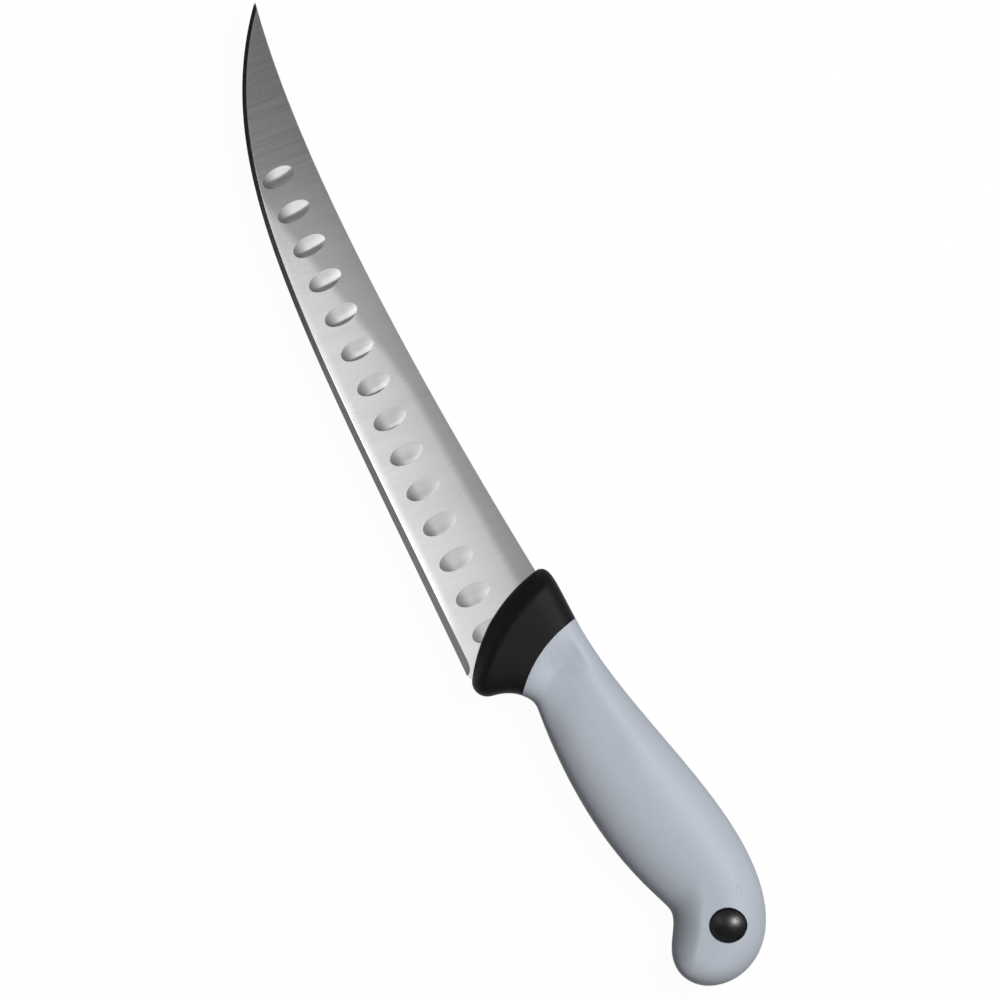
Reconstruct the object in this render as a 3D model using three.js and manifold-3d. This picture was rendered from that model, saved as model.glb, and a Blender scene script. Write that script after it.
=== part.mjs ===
// A butcher's knife: scalloped steel blade, black collar with a finger guard and grip with a hooked butt.
// Drawing frame in millimetres: the origin is where the spine enters the collar, +X runs to the butt,
// +Y from the cutting edge to the spine, and +Z out of one face of the blade.
import * as THREE from "three";
import { mergeVertices } from "three/addons/utils/BufferGeometryUtils.js";
import Module from "manifold-3d";

const wasm = await Module();
wasm.setup();

const at = (x, y) => new THREE.Vector2(x, y);
const { clamp, degToRad, lerp, smoothstep } = THREE.MathUtils;

// Clearance left between pieces that meet
const fitGap = 0.3;

// Blade outline: a sagging spine, and an edge that sweeps up to the tip
const bladeLength = 200;
const bladeHeight = 33.95;
const tipDrop = 1.1;
const tipFlat = 0.5;
const spineDip = at(63, -12.2);
const edgeTipPull = at(41.2, -36.2);
const edgeHeelPull = at(-123.9, 1.3);
const heelReach = 20.8;

// Blade end inside the collar: the spine runs on, the heel runs up, and a slanted shoulder joins them
const spineRun = 9;
const heelRun = at(2.6, 1.2);
const shoulderHeight = 18;

// Blade thickness: the faces are flat and taper to the tip and to the edge
const spineThickness = 2.5;
const tipThickness = 1.3;
const edgeThickness = 1.5;

// Sharpened bevel along the edge, which runs out just before the heel
const bevelWidthTip = 1.05;
const bevelWidthHeel = 2;
const bevelRunOut = 3.7;
const edgeLand = 0.1;

// Scallops ground into both faces, those of the far face set back by half a pitch
const scallopPitch = { heel: 12.45, tip: 11.85 };
const scallopLength = { heel: 11.8, tip: 11 };
const scallopWidth = { heel: 6.7, tip: 5.9 };
const scallopDepth = 0.3;
const scallopReach = 1.12;
const scallopLean = degToRad(4);
const scallopLastAlong = 10.85;
const scallopTipClear = 50;
const scallopRowRise = [12.65, 13.85, 13.35, 15.25];

// Tang: a tapered tongue that ends short of the plug, with holes that key it into the core
const tangRoot = at(16, -9);
const tangAngle = degToRad(7);
const tangToPlug = 28.5;
const tangRootHeight = 14;
const tangEndHeight = 10;
const tangEndRound = 3;
const tangThickness = 2.1;
const tangOverlap = 4;
const tangHoleCount = 3;
const tangHoleDiameter = 6;
const tangHoleFirst = 24;
const tangHoleLast = 16;

// Collar: a rounded nose on the blade, a flat top, and a finger guard that hooks down behind the heel
const noseTop = at(0.25, 0.8);
const noseTopPull = at(0.5, 4.1);
const noseFootBack = 1.95;
const noseFootRise = 0.85;
const noseFootPull = at(2.6, -1.7);
const noseBow = 4.3;
const noseRound = 5;
const noseLip = 1.8;
const collarRun = 19.2;
const collarRise = 4.9;
const collarTopPull = at(-14.2, -0.5);
const collarThickness = 19;
const collarSquareness = 4;
const guardBack = at(7.25, 3.7);
const guardBackPull = at(-0.7, -4);
const guardHollowPull = at(0.5, 3);

// Border between collar and grip, from the back of the collar to the choil behind the guard
const borderBow = 2.4;
const choilBack = 11.15;
const choilDrop = 21.1;
const choilPull = at(2.2, 2);

// Grip outline: the back rises to a crest and rounds into the butt, the belly runs to a notch and a hook
const gripLength = 124.8;
const gripBackPull = at(29.8, 0.9);
const crestBack = 33.5;
const crestRise = 21.5;
const crestPull = 28;
const buttDrop = 0.5;
const buttPullUp = 7.1;
const buttPullDown = 8.8;
const hookBack = 11.7;
const hookDrop = 14.7;
const hookPullBack = 6.2;
const hookPullFront = 7;
const notchBack = 28;
const notchDrop = 8.4;
const notchPullBack = 5.1;
const notchPullFront = 4.6;
const fingerBack = 6.6;
const fingerDrop = 18.4;
const fingerPull = at(-3.2, 0.3);
const bellyPull = at(49, -4.8);

// Grip section: it swells to the palm, turns from a rounded square to an oval and is fuller on the spine side
const palmThickness = 23;
const palmRise = 0.3;
const palmPeak = 0.5;
const buttThickness = 20.5;
const gripSquareness = 2.4;
const buttSquareness = 2;
const squareRun = 0.25;
const gripLean = { front: 0.16, palm: 0.06, butt: 0.12 };
const leanRun = 0.14;
const gripWall = 3.5;

// Thumb rest: a shallow dish behind the collar, on both faces
const thumbRestBack = 11;
const thumbRestDrop = 4.9;
const thumbRestLength = 24;
const thumbRestHeight = 17;
const thumbRestDepth = 0.9;
const thumbRestReach = 1.5;

// Core: its front end is a spigot in the collar, its far end passes the plug hole in the butt
const spigotStart = 0.78;
const spigotInset = 5.5;
const spigotRoot = 0.6;
const coreEnd = 0.6;

// Butt plug: two domed halves in a slightly oval hole, the pin of one pressed into the socket of the other
const plugBack = 16.5;
const plugRise = 5.9;
const plugHeadWidth = 11.9;
const plugDomeRise = 1.8;
const plugRimDrop = 1.4;
const plugRimThickness = 1.3;
const plugShankWidth = 8;
const plugPinWidth = 4;
const plugPinReach = 5;
const plugSlimness = 0.915;
const plugTurn = degToRad(-24);

// Fineness of the facets
const outlineSteps = 32;
const ringPoints = 28;
const roundSteps = 24;
const domeSteps = 6;
const collarSteps = 7;
const noseCrowding = 2;
const palmSteps = 14;
const palmCrowding = 1.5;
const buttSteps = 13;
const hollowSteps = 8;
const pegSteps = 4;
const bowlSides = 16;
const bowlRings = [0, 0.5, 0.84];

// Turn a closed three.js geometry into a solid that can be joined and cut
function solid(geometry) {
  const bare = new THREE.BufferGeometry();
  bare.setAttribute("position", geometry.getAttribute("position"));
  bare.setIndex(geometry.index);
  const merged = mergeVertices(bare, 1e-4);
  const vertProperties = new Float32Array(merged.getAttribute("position").array);
  const triVerts = new Uint32Array(merged.index.array);
  return new wasm.Manifold(new wasm.Mesh({ numProp: 3, vertProperties, triVerts }));
}

// The faces of a solid as a three.js geometry
function geometryOf(body) {
  const { vertProperties, triVerts } = body.getMesh();
  const geometry = new THREE.BufferGeometry();
  geometry.setAttribute("position", new THREE.BufferAttribute(vertProperties, 3));
  geometry.setIndex(new THREE.BufferAttribute(triVerts, 1));
  geometry.computeVertexNormals();
  return geometry;
}

// Faces that close a ring whose points lie in mirrored pairs on both sides of its first point
function capFaces(count) {
  const faces = [];
  for (let i = 1, j = count - 1; i <= j; i++, j--) {
    if (i < j) faces.push([i - 1, i, j]);
    if (i > 1) faces.push([i - 1, j, j + 1]);
  }
  return faces;
}

// A closed skin over rings of equal count that follow one another along the piece
function loft(rings) {
  const count = rings[0].length;
  const last = (rings.length - 1) * count;
  const index = [];
  for (let r = 0; r < last; r += count) {
    for (let k = 0; k < count; k++) {
      const a = r + k;
      const b = r + ((k + 1) % count);
      index.push(a, b, b + count, a, b + count, a + count);
    }
  }
  for (const [a, b, c] of capFaces(count)) {
    index.push(a, c, b, last + a, last + b, last + c);
  }
  return new THREE.BufferGeometry().setFromPoints(rings.flat()).setIndex(index);
}

// A shallow bowl with an oval rim at z = 0, carried on past the rim by reach and closed flat
function bowl(sizeX, sizeY, depth, reach) {
  const profile = [...bowlRings, reach].map((r) => at(r, depth * (r * r - 1)));
  profile.push(at(0, profile.at(-1).y));
  const geometry = new THREE.LatheGeometry(profile, bowlSides).rotateX(Math.PI / 2);
  return geometry.scale(sizeX / 2, sizeY / 2, 1);
}

// Turn a cutter made for the +Z face over to the other face, about the line at x
function turnOver(geometry, x) {
  return geometry.translate(-x, 0, 0).rotateY(Math.PI).translate(x, 0, 0);
}

// A quarter-round rise from 0 to 1
const dome = (v) => Math.sqrt(1 - (1 - Math.min(v, 1)) ** 2);

// Points that the outlines pass through
const tip = at(-bladeLength, -tipDrop);
const heel = at(heelReach, -bladeHeight);
const noseFoot = at(heel.x + noseFootBack, heel.y + noseFootRise);
const guard = noseFoot.clone().add(guardBack);
const collarEnd = at(collarRun, collarRise);
const choil = at(noseFoot.x + choilBack, -choilDrop);
const finger = at(choil.x + fingerBack, -fingerDrop);
const butt = at(collarRun + gripLength, -buttDrop);
const crest = at(butt.x - crestBack, crestRise);
const notch = at(butt.x - notchBack, -notchDrop);
const hook = at(butt.x - hookBack, -hookDrop);
const plugCentre = at(butt.x - plugBack, plugRise);

// A cubic curve from its start, the pull at its start, the pull at its end, and its end
function pulledCurve([start, pullStart, pullEnd, end]) {
  return new THREE.CubicBezierCurve(start, start.clone().add(pullStart), end.clone().add(pullEnd), end);
}

function chain(...spans) {
  const path = new THREE.CurvePath();
  spans.forEach((span) => path.add(pulledCurve(span)));
  return path;
}

// Half the blade's thickness anywhere on its flat faces
const alongTaper = (spineThickness - tipThickness) / bladeLength;
const acrossTaper = (spineThickness - edgeThickness) / bladeHeight;
const halfThickness = (x, y) => (spineThickness + alongTaper * x + acrossTaper * y) / 2;

const edgeCurve = pulledCurve([at(tip.x, tip.y - tipFlat), edgeTipPull, edgeHeelPull, heel]);
const spineControl = tip.clone().add(spineDip);

// Blade outline without the tang, made larger all round by grow
function bladeShape(grow) {
  const shape = new THREE.Shape();
  const shoulder = heel.x + heelRun.x + grow;
  const spineEnd = (spineRun * spineControl.y) / spineControl.x;
  shape.moveTo(tip.x - grow, tip.y);
  edgeCurve.getPoints(outlineSteps).forEach((p) => shape.lineTo(p.x, p.y - grow));
  shape.lineTo(shoulder, heel.y + heelRun.y - grow);
  shape.lineTo(shoulder, heel.y + heelRun.y + shoulderHeight);
  shape.lineTo(spineRun + grow, spineEnd + grow);
  shape.lineTo(0, grow);
  shape.quadraticCurveTo(spineControl.x, spineControl.y + grow, tip.x - grow, tip.y);
  return shape;
}

// Blade body with both flat faces tapered, made thicker by grow on each face
function bladeBody(grow) {
  const settings = { depth: 1, bevelEnabled: false, curveSegments: outlineSteps };
  const geometry = new THREE.ExtrudeGeometry(bladeShape(grow), settings);
  const position = geometry.getAttribute("position");
  for (let i = 0; i < position.count; i++) {
    const half = halfThickness(position.getX(i), position.getY(i)) + grow;
    position.setZ(i, position.getZ(i) > 0 ? half : -half);
  }
  return solid(geometry);
}

// Tang with its keying holes, made larger all round by grow, which narrows the holes
function tang(grow) {
  const length = (plugCentre.x - tangToPlug - tangRoot.x) / Math.cos(tangAngle);
  const root = tangRootHeight / 2 + grow;
  const end = tangEndHeight / 2 + grow;
  const reach = length + grow;
  const front = -tangOverlap - grow;
  const shape = new THREE.Shape();
  shape.moveTo(front, -root);
  shape.lineTo(reach - tangEndRound, -end);
  shape.quadraticCurveTo(reach, -end, reach, tangEndRound - end);
  shape.lineTo(reach, end - tangEndRound);
  shape.quadraticCurveTo(reach, end, reach - tangEndRound, end);
  shape.lineTo(front, root);
  for (let i = 0; i < tangHoleCount; i++) {
    const along = lerp(tangHoleFirst, length - tangHoleLast, i / (tangHoleCount - 1));
    shape.holes.push(new THREE.Path().absarc(along, 0, tangHoleDiameter / 2 - grow, 0, 2 * Math.PI, true));
  }
  const depth = tangThickness + 2 * grow;
  const geometry = new THREE.ExtrudeGeometry(shape, { depth, bevelEnabled: false, curveSegments: domeSteps });
  geometry.translate(0, 0, -depth / 2).rotateZ(tangAngle).translate(tangRoot.x, tangRoot.y, 0);
  return solid(geometry);
}

// Wedge that grinds the bevel off one face: it follows the edge and lifts off in a quarter round at the heel
function bevelWedge(side) {
  const length = edgeCurve.getLength();
  const runOutStart = 1 - bevelRunOut / length;
  const margin = bevelWidthHeel;
  const stops = [-margin / length];
  for (let i = 0; i <= outlineSteps; i++) stops.push((runOutStart * i) / outlineSteps);
  for (let i = 1; i <= domeSteps; i++) {
    stops.push(lerp(runOutStart, 1, Math.sin((Math.PI * i) / 2 / domeSteps)));
  }
  const rings = stops.map((u) => {
    const share = clamp(u, 0, 1);
    const along = edgeCurve.getTangentAt(share);
    const inward = at(-along.y, along.x);
    const onEdge = edgeCurve.getPointAt(share).addScaledVector(along, (u - share) * length);
    const width = lerp(bevelWidthTip, bevelWidthHeel, share);
    const runOut = Math.max(0, (u - runOutStart) / (1 - runOutStart));
    const ground = width * Math.sqrt(1 - runOut ** 2);
    const line = onEdge.clone().addScaledVector(inward, ground);
    const face = halfThickness(line.x, line.y);
    const slope = (face - edgeLand / 2) / width;
    const place = (across, rise) => {
      const p = line.clone().addScaledVector(inward, across);
      return new THREE.Vector3(p.x, p.y, side * (face + rise));
    };
    const inner = place(margin, slope * margin);
    const high = place(-width - margin, slope * margin + margin);
    const low = place(-width - margin, -slope * (width + margin));
    return side > 0 ? [inner, high, low] : [inner, low, high];
  });
  return solid(loft(rings));
}

// How many scallops fit between the collar and the clear stretch at the tip
const scallopMeanPitch = (scallopPitch.heel + scallopPitch.tip) / 2;
const scallopCount = 1 + Math.floor((bladeLength + scallopLastAlong - scallopTipClear) / scallopMeanPitch);

// Height of the scallop row, from the heel to the tip
const scallopRow = new THREE.CubicBezierCurve(...scallopRowRise.map((rise) => at(0, rise - bladeHeight)));

// One scallop cutter on a face of the blade, k counted from the heel
function scallopCutter(k, side) {
  const share = k / (scallopCount - 1);
  const stagger = side > 0 ? 0 : scallopMeanPitch / 2;
  const x = scallopLastAlong - k * lerp(scallopPitch.heel, scallopMeanPitch, share) - stagger;
  const y = scallopRow.getPoint(share).y;
  const width = lerp(scallopWidth.heel, scallopWidth.tip, share);
  const length = lerp(scallopLength.heel, scallopLength.tip, share);
  const cutter = bowl(width, length, scallopDepth, scallopReach).rotateZ(scallopLean);
  cutter.rotateX(Math.atan(acrossTaper / 2)).rotateY(-Math.atan(alongTaper / 2));
  cutter.translate(x, y, halfThickness(x, y));
  return solid(side > 0 ? cutter : turnOver(cutter, x));
}

// Blade: tapered body, bevels and scallops ground off, tang joined on
function makeBlade() {
  let body = bladeBody(0);
  for (const side of [1, -1]) {
    body = body.subtract(bevelWedge(side));
    for (let k = 0; k < scallopCount; k++) body = body.subtract(scallopCutter(k, side));
  }
  return body.add(tang(0));
}

// Space that the blade and its tang need inside the handle
const bladePocket = bladeBody(fitGap).add(tang(fitGap));

// Half thickness towards the hook, which closes like the rim of a pebble
function hookHalf(u) {
  const middle = buttStretch.top.getPoint(u).lerp(buttStretch.bottom.getPoint(u), 0.5);
  return (buttThickness / 2) * dome((2 * middle.distanceTo(hook)) / buttThickness);
}

// The handle in three stretches: each has its spine-side outline, its edge-side outline and its section
const collarStretch = {
  top: chain([noseTop, noseTopPull, collarTopPull, collarEnd]),
  bottom: chain(
    [noseFoot, noseFootPull, guardBackPull, guard],
    [guard, guardHollowPull, choilPull.clone().negate(), choil],
  ),
  bow: (u) => lerp(noseBow, borderBow, u),
  half: (u) => Math.max(noseLip, (collarThickness / 2) * dome((u * collarRun) / noseRound)),
  square: () => collarSquareness,
  lean: () => 0,
};
const palmStretch = {
  top: chain([collarEnd, gripBackPull, at(-crestPull, 0), crest]),
  bottom: chain([choil, choilPull, fingerPull, finger], [finger, bellyPull, at(-notchPullFront, 0), notch]),
  bow: (u) => borderBow * (1 - smoothstep(u, 0, palmPeak)),
  half: (u) => {
    const swell = lerp(collarThickness, palmThickness, smoothstep(u, 0, palmRise));
    return lerp(swell, buttThickness, smoothstep(u, palmPeak, 1)) / 2;
  },
  square: (u) => {
    const palm = lerp(collarSquareness, gripSquareness, smoothstep(u, 0, squareRun));
    return lerp(palm, buttSquareness, smoothstep(u, palmPeak, 1));
  },
  lean: (u) => {
    const front = gripLean.front * smoothstep(u, 0, leanRun);
    const palm = lerp(front, gripLean.palm, smoothstep(u, leanRun, palmPeak));
    return lerp(palm, gripLean.butt, smoothstep(u, palmPeak, 1));
  },
};
const buttStretch = {
  top: chain(
    [crest, at(crestPull, 0), at(0, buttPullUp), butt],
    [butt, at(0, -buttPullDown), at(hookPullBack, 0), hook],
  ),
  bottom: chain([notch, at(notchPullBack, 0), at(-hookPullFront, 0), hook]),
  bow: () => 0,
  half: hookHalf,
  square: () => buttSquareness,
  lean: () => gripLean.butt,
};

// One oval ring round the handle at share u of a stretch, drawn in by inset on every side: its lean moves the
// thickest part towards the spine side
function ring([stretch, u], inset) {
  const top = stretch.top.getPoint(u);
  const bottom = stretch.bottom.getPoint(u);
  const middle = top.clone().lerp(bottom, 0.5);
  const span = top.distanceTo(bottom) / 2;
  const across = bottom.clone().sub(top).normalize();
  const forward = at(across.y, -across.x);
  const power = 2 / stretch.square(u);
  const soften = (v) => Math.sign(v) * Math.abs(v) ** power;
  const section = Array.from({ length: ringPoints }, (_, i) => {
    const angle = (2 * Math.PI * i) / ringPoints;
    const reach = -soften(Math.cos(angle));
    return at(reach, soften(Math.sin(angle)) * (1 - stretch.lean(u) * reach));
  });
  const peak = Math.max(...section.map((p) => p.y));
  const half = (stretch.half(u) - inset) / peak;
  return section.map(({ x, y }) => {
    const reach = x * (span - inset);
    const bow = stretch.bow(u) * (1 - (reach / span) ** 2);
    const p = middle.clone().addScaledVector(across, reach).addScaledVector(forward, bow);
    return new THREE.Vector3(p.x, p.y, half * y);
  });
}

// Stations along part of a stretch, evenly spaced or, with a power above 1, closer together at its start
function stations(stretch, from, to, steps, power = 1) {
  return Array.from({ length: steps + 1 }, (_, i) => [stretch, lerp(from, to, (i / steps) ** power)]);
}

const handleForm = (places, inset) => loft(places.map((place) => ring(place, inset)));

// Stations of the collar, closer together over its rounded nose
const noseEnd = noseRound / collarRun;
const collarStations = [
  ...stations(collarStretch, 0, noseEnd, domeSteps, noseCrowding).slice(0, -1),
  ...stations(collarStretch, noseEnd, 1, collarSteps),
];

// Stations of the grip, closer together at the hollow behind the guard and towards the end of the hook
const gripStart = fitGap / palmStretch.bottom.getLength();
const spigotTail = gripStart + spigotRoot / palmStretch.bottom.getLength();
const gripStations = [
  ...stations(palmStretch, gripStart, 1, palmSteps, palmCrowding).slice(0, -1),
  ...Array.from({ length: buttSteps }, (_, i) => [buttStretch, Math.sin((Math.PI * i) / 2 / buttSteps)]),
];
const gripForm = handleForm(gripStations, 0);

// Stations of a filling of the grip, from the border into the butt
function fillStations(from, to) {
  const palm = stations(palmStretch, from, 1, hollowSteps).slice(0, -1);
  return [...palm, ...stations(buttStretch, 0, to, hollowSteps)];
}
const cavityEnd = coreEnd + (2 * fitGap) / buttStretch.bottom.getLength();
const cavityStations = [[collarStretch, 1 - gripStart], ...fillStations(0, cavityEnd)];
const coreStations = fillStations(gripStart, coreEnd);

// Stations of a peg from the collar into the front of the grip
function pegStations(from) {
  return [...stations(collarStretch, from, 1, pegSteps), ...stations(palmStretch, gripStart, spigotTail, 1)];
}
const spigotStations = pegStations(spigotStart);
const socketStations = pegStations(spigotStart - (2 * fitGap) / collarStretch.bottom.getLength());

// Height of the grip's face above the mid-plane at a point
function faceHeight(point) {
  const skin = new THREE.Mesh(gripForm, new THREE.MeshBasicMaterial());
  const above = new THREE.Vector3(point.x, point.y, palmThickness);
  return new THREE.Raycaster(above, new THREE.Vector3(0, 0, -1)).intersectObject(skin)[0].point.z;
}

// An oval hole along the plug's axis, with a clearance round a part of the given width
function plugHole(width, zLow, zHigh) {
  const hole = new THREE.CylinderGeometry(1, 1, zHigh - zLow, roundSteps).rotateX(Math.PI / 2);
  hole.scale((plugSlimness * width) / 2 + fitGap, width / 2 + fitGap, 1).rotateZ(plugTurn);
  return solid(hole.translate(plugCentre.x, plugCentre.y, (zLow + zHigh) / 2));
}

// Plug place: the rim of each head lies a little below the face of the grip
const plugRim = faceHeight(plugCentre) - plugRimDrop;
const plugSeat = plugRim - plugRimThickness;
const plugBore = plugHole(plugShankWidth, -buttThickness, buttThickness);
const plugSeats = [
  plugHole(plugHeadWidth, plugSeat, buttThickness),
  plugHole(plugHeadWidth, -buttThickness, -plugSeat),
];

// Collar: its stretch of the handle, with the slot for the blade and the socket for the core
function makeCollar() {
  const socket = solid(handleForm(socketStations, spigotInset - fitGap));
  return solid(handleForm(collarStations, 0)).subtract(bladePocket).subtract(socket);
}

// Core: fills the hollow of the grip, holds the tang and ends in a spigot
function makeCore() {
  let core = solid(handleForm(coreStations, gripWall + fitGap));
  core = core.add(solid(handleForm(spigotStations, spigotInset)));
  core = core.subtract(bladePocket).subtract(plugBore);
  return plugSeats.reduce((body, seat) => body.subtract(seat), core);
}

// Grip: the hollow sleeve with thumb rests, the plug hole and a seat for each plug head
function makeGrip() {
  const hollow = solid(handleForm(cavityStations, gripWall));
  const thumb = at(collarRun + thumbRestBack, -thumbRestDrop);
  const cutters = [hollow, plugBore, ...plugSeats];
  for (const side of [1, -1]) {
    const rest = bowl(thumbRestLength, thumbRestHeight, thumbRestDepth, thumbRestReach);
    rest.translate(thumb.x, thumb.y, faceHeight(thumb));
    cutters.push(solid(side > 0 ? rest : turnOver(rest, thumb.x)));
  }
  return cutters.reduce((body, cutter) => body.subtract(cutter), solid(gripForm));
}

// Profile of a plug head, from the top of its dome down to the shank
function plugHead() {
  const radius = plugHeadWidth / 2;
  const sphere = (radius ** 2 + plugDomeRise ** 2) / (2 * plugDomeRise);
  const open = Math.asin(radius / sphere);
  const under = plugSeat + fitGap;
  const crown = Array.from({ length: domeSteps + 1 }, (_, i) => {
    const angle = (open * i) / domeSteps;
    return at(sphere * Math.sin(angle), plugRim + plugDomeRise - sphere * (1 - Math.cos(angle)));
  });
  return [...crown, at(radius, under), at(plugShankWidth / 2, under)];
}

// A turned piece, slimmed to the oval hole: its profile runs down from the axis and back to it
function turned(profile, turn) {
  const round = new THREE.LatheGeometry(profile.reverse(), roundSteps).rotateX(Math.PI / 2);
  return round.scale(plugSlimness, 1, 1).rotateZ(turn);
}

// Socket half of the plug: its shank reaches the mid-plane and has a blind hole
function makeSocketPlug() {
  const hole = plugPinWidth / 2 + fitGap;
  const top = plugPinReach + fitGap;
  const profile = [...plugHead(), at(plugShankWidth / 2, 0), at(hole, 0), at(hole, top), at(0, top)];
  return turned(profile, plugTurn);
}

// Pin half of the plug, drawn the same way up and turned over later: its pin crosses the mid-plane
function makePinPlug() {
  const pin = plugPinWidth / 2;
  const foot = at(plugShankWidth / 2, fitGap);
  const profile = [...plugHead(), foot, at(pin, fitGap), at(pin, -plugPinReach), at(0, -plugPinReach)];
  return turned(profile, -plugTurn);
}

// Finishes
const steel = { color: 0xc6c9cc, metalness: 1, roughness: 0.3 };
const blackPlastic = { color: 0x1d1d1f, metalness: 0, roughness: 0.45 };
const darkCore = { color: 0x2c2d30, metalness: 0, roughness: 0.6 };
const greyGrip = { color: 0xb2b8c2, metalness: 0, roughness: 0.6 };
const glossBlack = { color: 0x0d0d0e, metalness: 0, roughness: 0.15 };

function piece(name, geometry, finish) {
  const mesh = new THREE.Mesh(geometry, new THREE.MeshStandardMaterial(finish));
  mesh.name = name;
  return mesh;
}

const knife = new THREE.Group();
knife.add(piece("blade", geometryOf(makeBlade()), steel));
knife.add(piece("front_collar", geometryOf(makeCollar()), blackPlastic));
knife.add(piece("handle_core", geometryOf(makeCore()), darkCore));
knife.add(piece("grip", geometryOf(makeGrip()), greyGrip));

const leftPlug = piece("butt_plug_left", makeSocketPlug(), glossBlack);
leftPlug.position.set(plugCentre.x, plugCentre.y, 0);
const rightPlug = piece("butt_plug_right", makePinPlug(), glossBlack);
rightPlug.position.copy(leftPlug.position);
rightPlug.rotation.x = Math.PI;
knife.add(leftPlug, rightPlug);

// The knife lies on its side, with the origin under the middle of its box
const box = new THREE.Box3().setFromObject(knife, true);
const middle = box.getCenter(new THREE.Vector3());
knife.position.set(-middle.x, -middle.y, -box.min.z);

const root = new THREE.Group();
root.add(knife);

export default root;
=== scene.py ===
# %% [markdown]
# # A butcher's knife, dressed for its picture
# The CAD model of the knife is loaded as a fixed frame. Every piece below is drawn again with a finer mesh
# and a finish of its own, inside the same box: the blade, the collar, the grip and the two halves of the
# butt plug. The core inside the grip keeps its CAD shape, because nobody sees it.

# %% Load the fixed frame
import math

import bmesh
import bpy
import numpy as np
from mathutils import Matrix, Vector


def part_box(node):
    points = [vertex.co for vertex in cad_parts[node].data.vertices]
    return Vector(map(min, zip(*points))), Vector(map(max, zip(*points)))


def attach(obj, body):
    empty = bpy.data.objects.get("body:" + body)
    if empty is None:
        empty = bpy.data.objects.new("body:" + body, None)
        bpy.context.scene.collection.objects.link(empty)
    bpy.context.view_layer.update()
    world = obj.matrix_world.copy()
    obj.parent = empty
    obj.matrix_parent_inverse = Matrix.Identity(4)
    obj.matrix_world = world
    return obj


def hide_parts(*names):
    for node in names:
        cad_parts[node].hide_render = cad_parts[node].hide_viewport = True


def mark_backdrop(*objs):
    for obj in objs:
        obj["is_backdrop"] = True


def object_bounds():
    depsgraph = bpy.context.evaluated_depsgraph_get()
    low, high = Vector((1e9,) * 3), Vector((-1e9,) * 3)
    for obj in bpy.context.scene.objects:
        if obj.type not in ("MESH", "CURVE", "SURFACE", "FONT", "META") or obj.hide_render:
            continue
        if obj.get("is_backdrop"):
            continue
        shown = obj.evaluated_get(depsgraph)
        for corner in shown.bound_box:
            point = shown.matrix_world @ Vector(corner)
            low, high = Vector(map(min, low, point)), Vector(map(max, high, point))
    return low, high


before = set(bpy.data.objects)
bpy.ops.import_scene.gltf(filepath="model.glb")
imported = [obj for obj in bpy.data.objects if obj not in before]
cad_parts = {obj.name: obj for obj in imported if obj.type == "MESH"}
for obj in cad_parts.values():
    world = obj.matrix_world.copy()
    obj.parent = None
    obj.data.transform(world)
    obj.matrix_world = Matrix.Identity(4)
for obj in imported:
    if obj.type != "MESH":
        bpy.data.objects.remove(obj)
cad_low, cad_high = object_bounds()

print("CAD box, mm:", [round(1000 * (b - a), 2) for a, b in zip(cad_low, cad_high)])

# %% [markdown]
# ## The drawing frame
# A knife is easiest to draw in millimetres from the point where the spine enters the collar: +X runs to the
# butt, +Y from the cutting edge to the spine, and +Z out of the face. The frame's own origin is under the
# middle of the knife, so two corners of the CAD pieces give the shift between the two.

# %% From the drawing to the frame
MM = 0.001
WELD = 2e-7
BLADE_LENGTH = 200.0
CREST = np.array([110.5, 21.5])
shift = np.array([
    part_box("blade")[0].x / MM + BLADE_LENGTH,
    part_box("grip")[1].y / MM - CREST[1],
    (cad_low.z + cad_high.z) / 2 / MM,
])


def placed(points):
    """Drawing points in millimetres as places in the frame, in metres."""
    return (np.asarray(points, float) + shift) * MM


def in_scene(name, data):
    """A new object in the scene that shows some data."""
    made = bpy.data.objects.new(name, data)
    bpy.context.collection.objects.link(made)
    return made


def new_piece(name, points, faces, crease_degrees, finishes=None):
    """A mesh object from drawing points, smooth except along edges sharper than the crease angle."""
    mesh = bpy.data.meshes.new(name)
    mesh.from_pydata(placed(points).tolist(), [], faces)
    if finishes:
        mesh.attributes.new("material_index", "INT", "FACE").data.foreach_set("value", finishes)
    piece = in_scene(name, mesh)
    close_up(mesh, crease_degrees)
    return piece


def close_up(mesh, crease_degrees):
    """Weld doubled points, turn all faces outwards and set the shading."""
    form = bmesh.new()
    form.from_mesh(mesh)
    bmesh.ops.remove_doubles(form, verts=form.verts, dist=WELD)
    bmesh.ops.recalc_face_normals(form, faces=form.faces)
    form.to_mesh(mesh)
    form.free()
    mesh.shade_smooth()
    mesh.set_sharp_from_angle(angle=math.radians(crease_degrees))


print("drawing origin in the frame, mm:", np.round(shift, 3))

# %% [markdown]
# ## Smooth outlines
# The knife's outline is a chain of Bezier curves. Each curve is given by its two ends and by how far it is
# pulled out of them, which is how the handles of a curve are dragged in the viewport. Walking along a chain
# by its length keeps the points evenly spaced.

# %% Curves and chains
def bezier(controls, steps=240):
    """Points along a Bezier curve, found by repeated blending between its controls."""
    t = np.linspace(0, 1, steps + 1)[:, None, None]
    points = np.asarray(controls, float)[None]
    while points.shape[1] > 1:
        points = points[:, :-1] * (1 - t) + points[:, 1:] * t
    return points[:, 0]


def pulled(start, pull_start, pull_end, end):
    """A curve between two ends, pulled out of each of them."""
    return bezier([start, np.add(start, pull_start), np.add(end, pull_end), end])


def chain(*spans):
    """Pulled curves end to end, as a function of the share of their whole length."""
    runs = [pulled(*span) for span in spans]
    points = np.concatenate([runs[0]] + [run[1:] for run in runs[1:]])
    steps = np.linalg.norm(np.diff(points, axis=0), axis=1)
    length = np.concatenate([[0], np.cumsum(steps)])

    def walk(share):
        along = np.asarray(share) * length[-1]
        return np.stack([np.interp(along, length, points[:, axis]) for axis in (0, 1)], -1)

    walk.length = length[-1]
    return walk


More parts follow.
